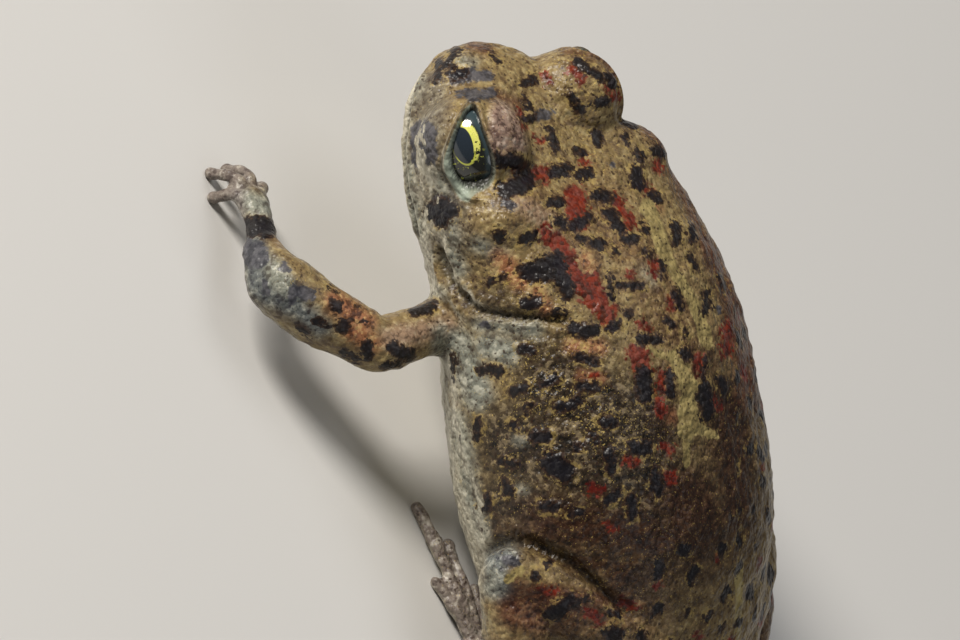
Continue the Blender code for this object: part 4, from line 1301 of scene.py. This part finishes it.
def skin_finish():
    """Damp toad skin: granules of mixed tones, gold flecks, and black, slate and red marks."""
    f = Finish("toad_skin")
    black_in, slate_in, red_in, glitter = f.attribute("marks")
    pale_lid_and_glint, dark_lid, wart, plain = f.attribute("parts")
    stripe_in = f.attribute("dark_tone")[3]
    blotch = f.noise(5.0, 3.0, 0.6)
    edge = f.noise(9.0, 3.0, 0.65)
    fine = f.noise(34.0, 2.0, 0.6)
    granule, chance, red_chance, edge_chance = f.cells(13.0)
    _, small_chance, _, soot_chance = f.cells(26.0)

    def added(*terms):
        """The sum of some values about a half, each times its weight, less what keeps it about a half."""
        total = 0.5
        for value, weight in terms:
            total = f.plus(f.times(f.less(value, 0.5), weight), total)
        return total

    def wander(depth, by_noise, by_granule):
        """A mark's depth with its edge made ragged."""
        return f.plus(depth, f.less(added((edge, by_noise), (edge_chance, by_granule)), 0.5))

    tone = added((blotch, 1.1), (edge, 0.7), (chance, 0.20), (small_chance, 0.08))
    tone = f.plus(tone, f.times(wart, 0.12))
    colour = f.mix(f.step(tone, 0.31, 0.47), f.colour("dark_tone"), f.colour("middle_tone"))
    colour = f.mix(f.step(tone, 0.54, 0.74), colour, f.colour("light_tone"))
    stripe = f.step(wander(stripe_in, 7.0, 2.0), -0.8, 0.8)
    colour = f.mix(stripe, colour, f.mix(f.step(blotch, 0.35, 0.65), OLIVE, OLIVE_PALE))

    black = wander(black_in, 11.0, 4.0)
    rim = f.times(f.step(black, -4.5, -1.5), f.step(black, 1.5, 0.0))
    showy = f.times(f.less(1.0, plain), f.less(1.0, stripe))
    colour = f.laid(colour, GOLD_DULL, rim, f.step(blotch, 0.47, 0.57), 0.6, showy)
    plenty = f.plus(f.times(glitter, 0.05), f.times(rim, 0.03))
    fleck = f.step(f.plus(added((fine, 1.0), (edge, 0.35)), plenty), 0.665, 0.70)
    colour = f.laid(colour, GOLD, fleck, showy, 0.6)
    soot = f.math("GREATER_THAN", soot_chance, 0.95)
    colour = f.laid(colour, SPOT_EDGE, soot, f.less(0.8, f.times(plain, 0.7)))

    ruddy = f.mix(f.step(blotch, 0.42, 0.60), RED, RED_BRIGHT)
    # Painted highlights: a few random granules of the red marks paler pink
    ruddy = f.laid(ruddy, RED_GRANULE_HIGHLIGHT, f.step(red_chance, 0.72, 0.80), 0.7)
    ruddy = f.laid(ruddy, RED_DARK, f.step(red_chance, 0.24, 0.16), 0.7)
    colour = f.laid(colour, ruddy, f.step(wander(red_in, 16.0, 6.0), -2.5, 2.5), 0.93)
    slaty = f.mix(f.step(blotch, 0.42, 0.58), SLATE_DARK, SLATE)
    colour = f.laid(colour, slaty, f.step(wander(slate_in, 9.0, 3.0), -1.5, 1.5), 0.93)
    ink = f.mix(f.step(black, 0.5, 3.0), SPOT_EDGE, SPOT_BLACK)
    ink = f.laid(ink, SPOT_BLUE, f.step(f.plus(black, f.times(blotch, 8.0)), 6.0, 12.0), 0.5)
    colour = f.laid(colour, ink, f.step(black, -1.0, 0.8), 0.97)
    # Pale lower lid, partly a painted glint up the eye's rear side
    colour = f.laid(colour, LID_PALE_AND_GLINT, pale_lid_and_glint, 0.9)
    colour = f.laid(colour, LID_DARK, dark_lid, 0.95)

    height = f.plus(f.times(f.step(granule, 0.85, 0.0), 0.5), f.times(fine, 0.08))
    height = f.plus(height, f.times(f.step(f.cells(7.5)[0], 0.9, 0.0), 1.1))
    relief = f.new("ShaderNodeBump")
    f.set(relief, Strength=0.7, Distance=0.03 * MM, Height=height)
    f.set(f.shader, Base_Color=colour, Roughness=f.plus(f.times(fine, 0.26), 0.23), Normal=relief.outputs[0])
    f.set(f.shader, Specular_IOR_Level=0.24, Coat_Weight=0.07, Coat_Roughness=0.18)
    return f.material


# The eye's markings, as middles and half sizes back and up from where the eye looks
PUPIL_AT, PUPIL_HALF = (-0.115, 0.095), (0.294, 0.165)
GOLD_AT, GOLD_HALF = (-0.13, 0.100), (0.37, 0.275)
IRIS_AT, IRIS_HALF = (-0.02, 0.04), (0.66, 0.42)
PUPIL_BLUE = (0.014, 0.022, 0.032)
IRIS_BLACK = (0.010, 0.011, 0.007)
IRIS_GOLD = (0.60, 0.64, 0.085)
IRIS_PALE = (0.75, 0.72, 0.20)
# The eye's own teal, darkened as painted shade of the upper lid
LID_SHADED_TEAL = (0.034, 0.056, 0.064)


def model_eye(side, name):
    """An eyeball as rings round its axis, with each point's backward and upward offset stored on it."""
    centre, out, back, over = eye_axes(side)
    points, faces = sphere(centre, EYE_RADIUS, out, back, over, rows=60, sides=80)
    shape = mesh_from(name, points * MM, faces)
    away = points - centre
    paint(shape, "gaze", away @ back, away @ over, away @ out)
    return place(name, shape)


def eye_finish():
    """A wet dark eye: a blue-black level pupil under an arc of gold, veined with black."""
    f = Finish("toad_eye")
    backward, upward, _, _ = f.attribute("gaze")

    def oval(middle, half):
        """1 on an oval with this middle and these half sizes, less inside it."""
        across = f.math("DIVIDE", f.less(backward, middle[0]), half[0])
        high = f.math("DIVIDE", f.less(upward, middle[1]), half[1])
        return f.math("SQRT", f.plus(f.times(across, across), f.times(high, high)))

    vein = f.noise(12.0, 4.0, 0.65)
    fine = f.noise(45.0, 2.0, 0.6)
    arc, pupil, iris = oval(GOLD_AT, GOLD_HALF), oval(PUPIL_AT, PUPIL_HALF), oval(IRIS_AT, IRIS_HALF)
    # Outside the iris: the eye's teal, darkened as painted shade of the upper lid
    colour = f.mix(f.step(iris, 0.80, 0.95), IRIS_BLACK, LID_SHADED_TEAL)
    ragged = f.plus(arc, f.times(f.less(vein, 0.5), 0.25))
    band = f.times(f.step(ragged, 1.03, 0.96), f.step(upward, 0.09, 0.14))
    solid = f.plus(vein, f.times(f.step(backward, 0.12, -0.12), 0.14))
    gold = f.mix(f.step(fine, 0.35, 0.6), IRIS_GOLD, IRIS_PALE)
    colour = f.laid(colour, gold, band, f.step(solid, 0.515, 0.555))
    behind = f.step(backward, 0.0, 0.1)
    ring = f.times(f.step(pupil, 1.22, 1.14), f.step(pupil, 1.04, 1.09))
    colour = f.laid(colour, IRIS_GOLD, ring, f.plus(0.12, f.times(behind, 0.75)))
    thread = f.times(f.step(vein, 0.60, 0.65), f.step(iris, 0.95, 0.8))
    colour = f.laid(colour, IRIS_GOLD, thread, f.times(behind, 0.7))
    colour = f.mix(f.step(pupil, 1.04, 0.99), colour, PUPIL_BLUE)
    f.set(f.shader, Base_Color=colour, Roughness=0.12, Coat_Weight=1.0, Coat_Roughness=0.03)
    return f.material


def floor_finish():
    """Plain pale matt floor."""
    f = Finish("floor")
    f.set(f.shader, Base_Color=FLOOR_COLOUR, Roughness=0.7)
    return f.material


def add_floor():
    """A level square under the toad."""
    reach = 600 * MM
    corners = [(-reach, -reach, 0), (reach, -reach, 0), (reach, reach, 0), (-reach, reach, 0)]
    shape = bpy.data.meshes.new("floor")
    shape.from_pydata(corners, [], [(0, 1, 2, 3)])
    shape.materials.append(floor_finish())
    place("floor", shape)


def facing(right, up, back, at):
    """The matrix of a camera or lamp at a place in mm, with its own three axes in these directions."""
    return Matrix([*np.stack([right, up, back, at * MM], 1).tolist(), [0, 0, 0, 1]])


def add_camera():
    """A long lens in the photo's direction, turned as the photo is, over the photo's middle."""
    across = (np.array(PICTURE_MIDDLE) - SNOUT_PIXEL) / PIXELS_PER_MM
    aim = SNOUT + RIGHTWARDS * across[0] - UPWARDS * across[1]
    data = bpy.data.cameras.new("camera")
    data.sensor_width = SENSOR_WIDTH
    data.lens = SENSOR_WIDTH * CAMERA_DISTANCE / (PICTURE_WIDTH / PIXELS_PER_MM)
    data.clip_start = 0.01
    data.clip_end = 10.0
    camera = place("camera", data)
    camera.matrix_world = facing(RIGHTWARDS, UPWARDS, TOWARDS, aim + TOWARDS * CAMERA_DISTANCE)
    bpy.context.scene.camera = camera


def add_light(name, way, distance, size, power, colour):
    """A round soft light in a direction, in mm and watts, facing the toad."""
    way = unit(np.array(way, float))
    data = bpy.data.lights.new(name, "AREA")
    data.shape = "DISK"
    data.size = size * MM
    data.energy = power
    data.color = colour
    side = unit(np.cross((0.0, 0.0, 1.0), way) + (1e-6, 0, 0))
    place(name, data).matrix_world = facing(side, np.cross(way, side), way, way * distance)


def add_lights():
    """A key from the photo's upper left, a soft top light, a low fill from behind, and a pale sky."""
    add_light("key", TOWARDS * 0.8 + UPWARDS * 1.1 - RIGHTWARDS * 0.3, 160, 50, 0.315, (1.0, 0.95, 0.88))
    add_light("fill", (0.2, 1.0, 0.9), 180, 120, 0.04, (0.95, 0.97, 1.0))
    add_light("top", (-0.3, -0.2, 1.0), 180, 120, 0.055, (1.0, 1.0, 1.0))
    world = bpy.data.worlds.new("studio")
    world.use_nodes = True
    sky = world.node_tree.nodes["Background"]
    sky.inputs["Color"].default_value = (1.0, 0.99, 0.98, 1.0)
    sky.inputs["Strength"].default_value = 0.11
    bpy.context.scene.world = world
    bpy.context.scene.view_settings.view_transform = "Standard"


LIMB_NODES = ("upper_arm", "forearm", "hand", "thigh", "shank", "tarsus", "foot")
FLESH = ["head", "lower_jaw", "torso", *(f"{part}_{side}" for part in LIMB_NODES for side in "lr")]

toad = model_skin()
toad.data.materials.append(skin_finish())
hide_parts(*FLESH)
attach(toad, "root")

wet = eye_finish()
for side, word in ((1, "l"), (-1, "r")):
    eyeball = model_eye(side, f"eyeball_{word}")
    eyeball.data.materials.append(wet)
    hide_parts(f"eye_{word}")
    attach(eyeball, "root")

add_floor()
add_lights()
add_camera()
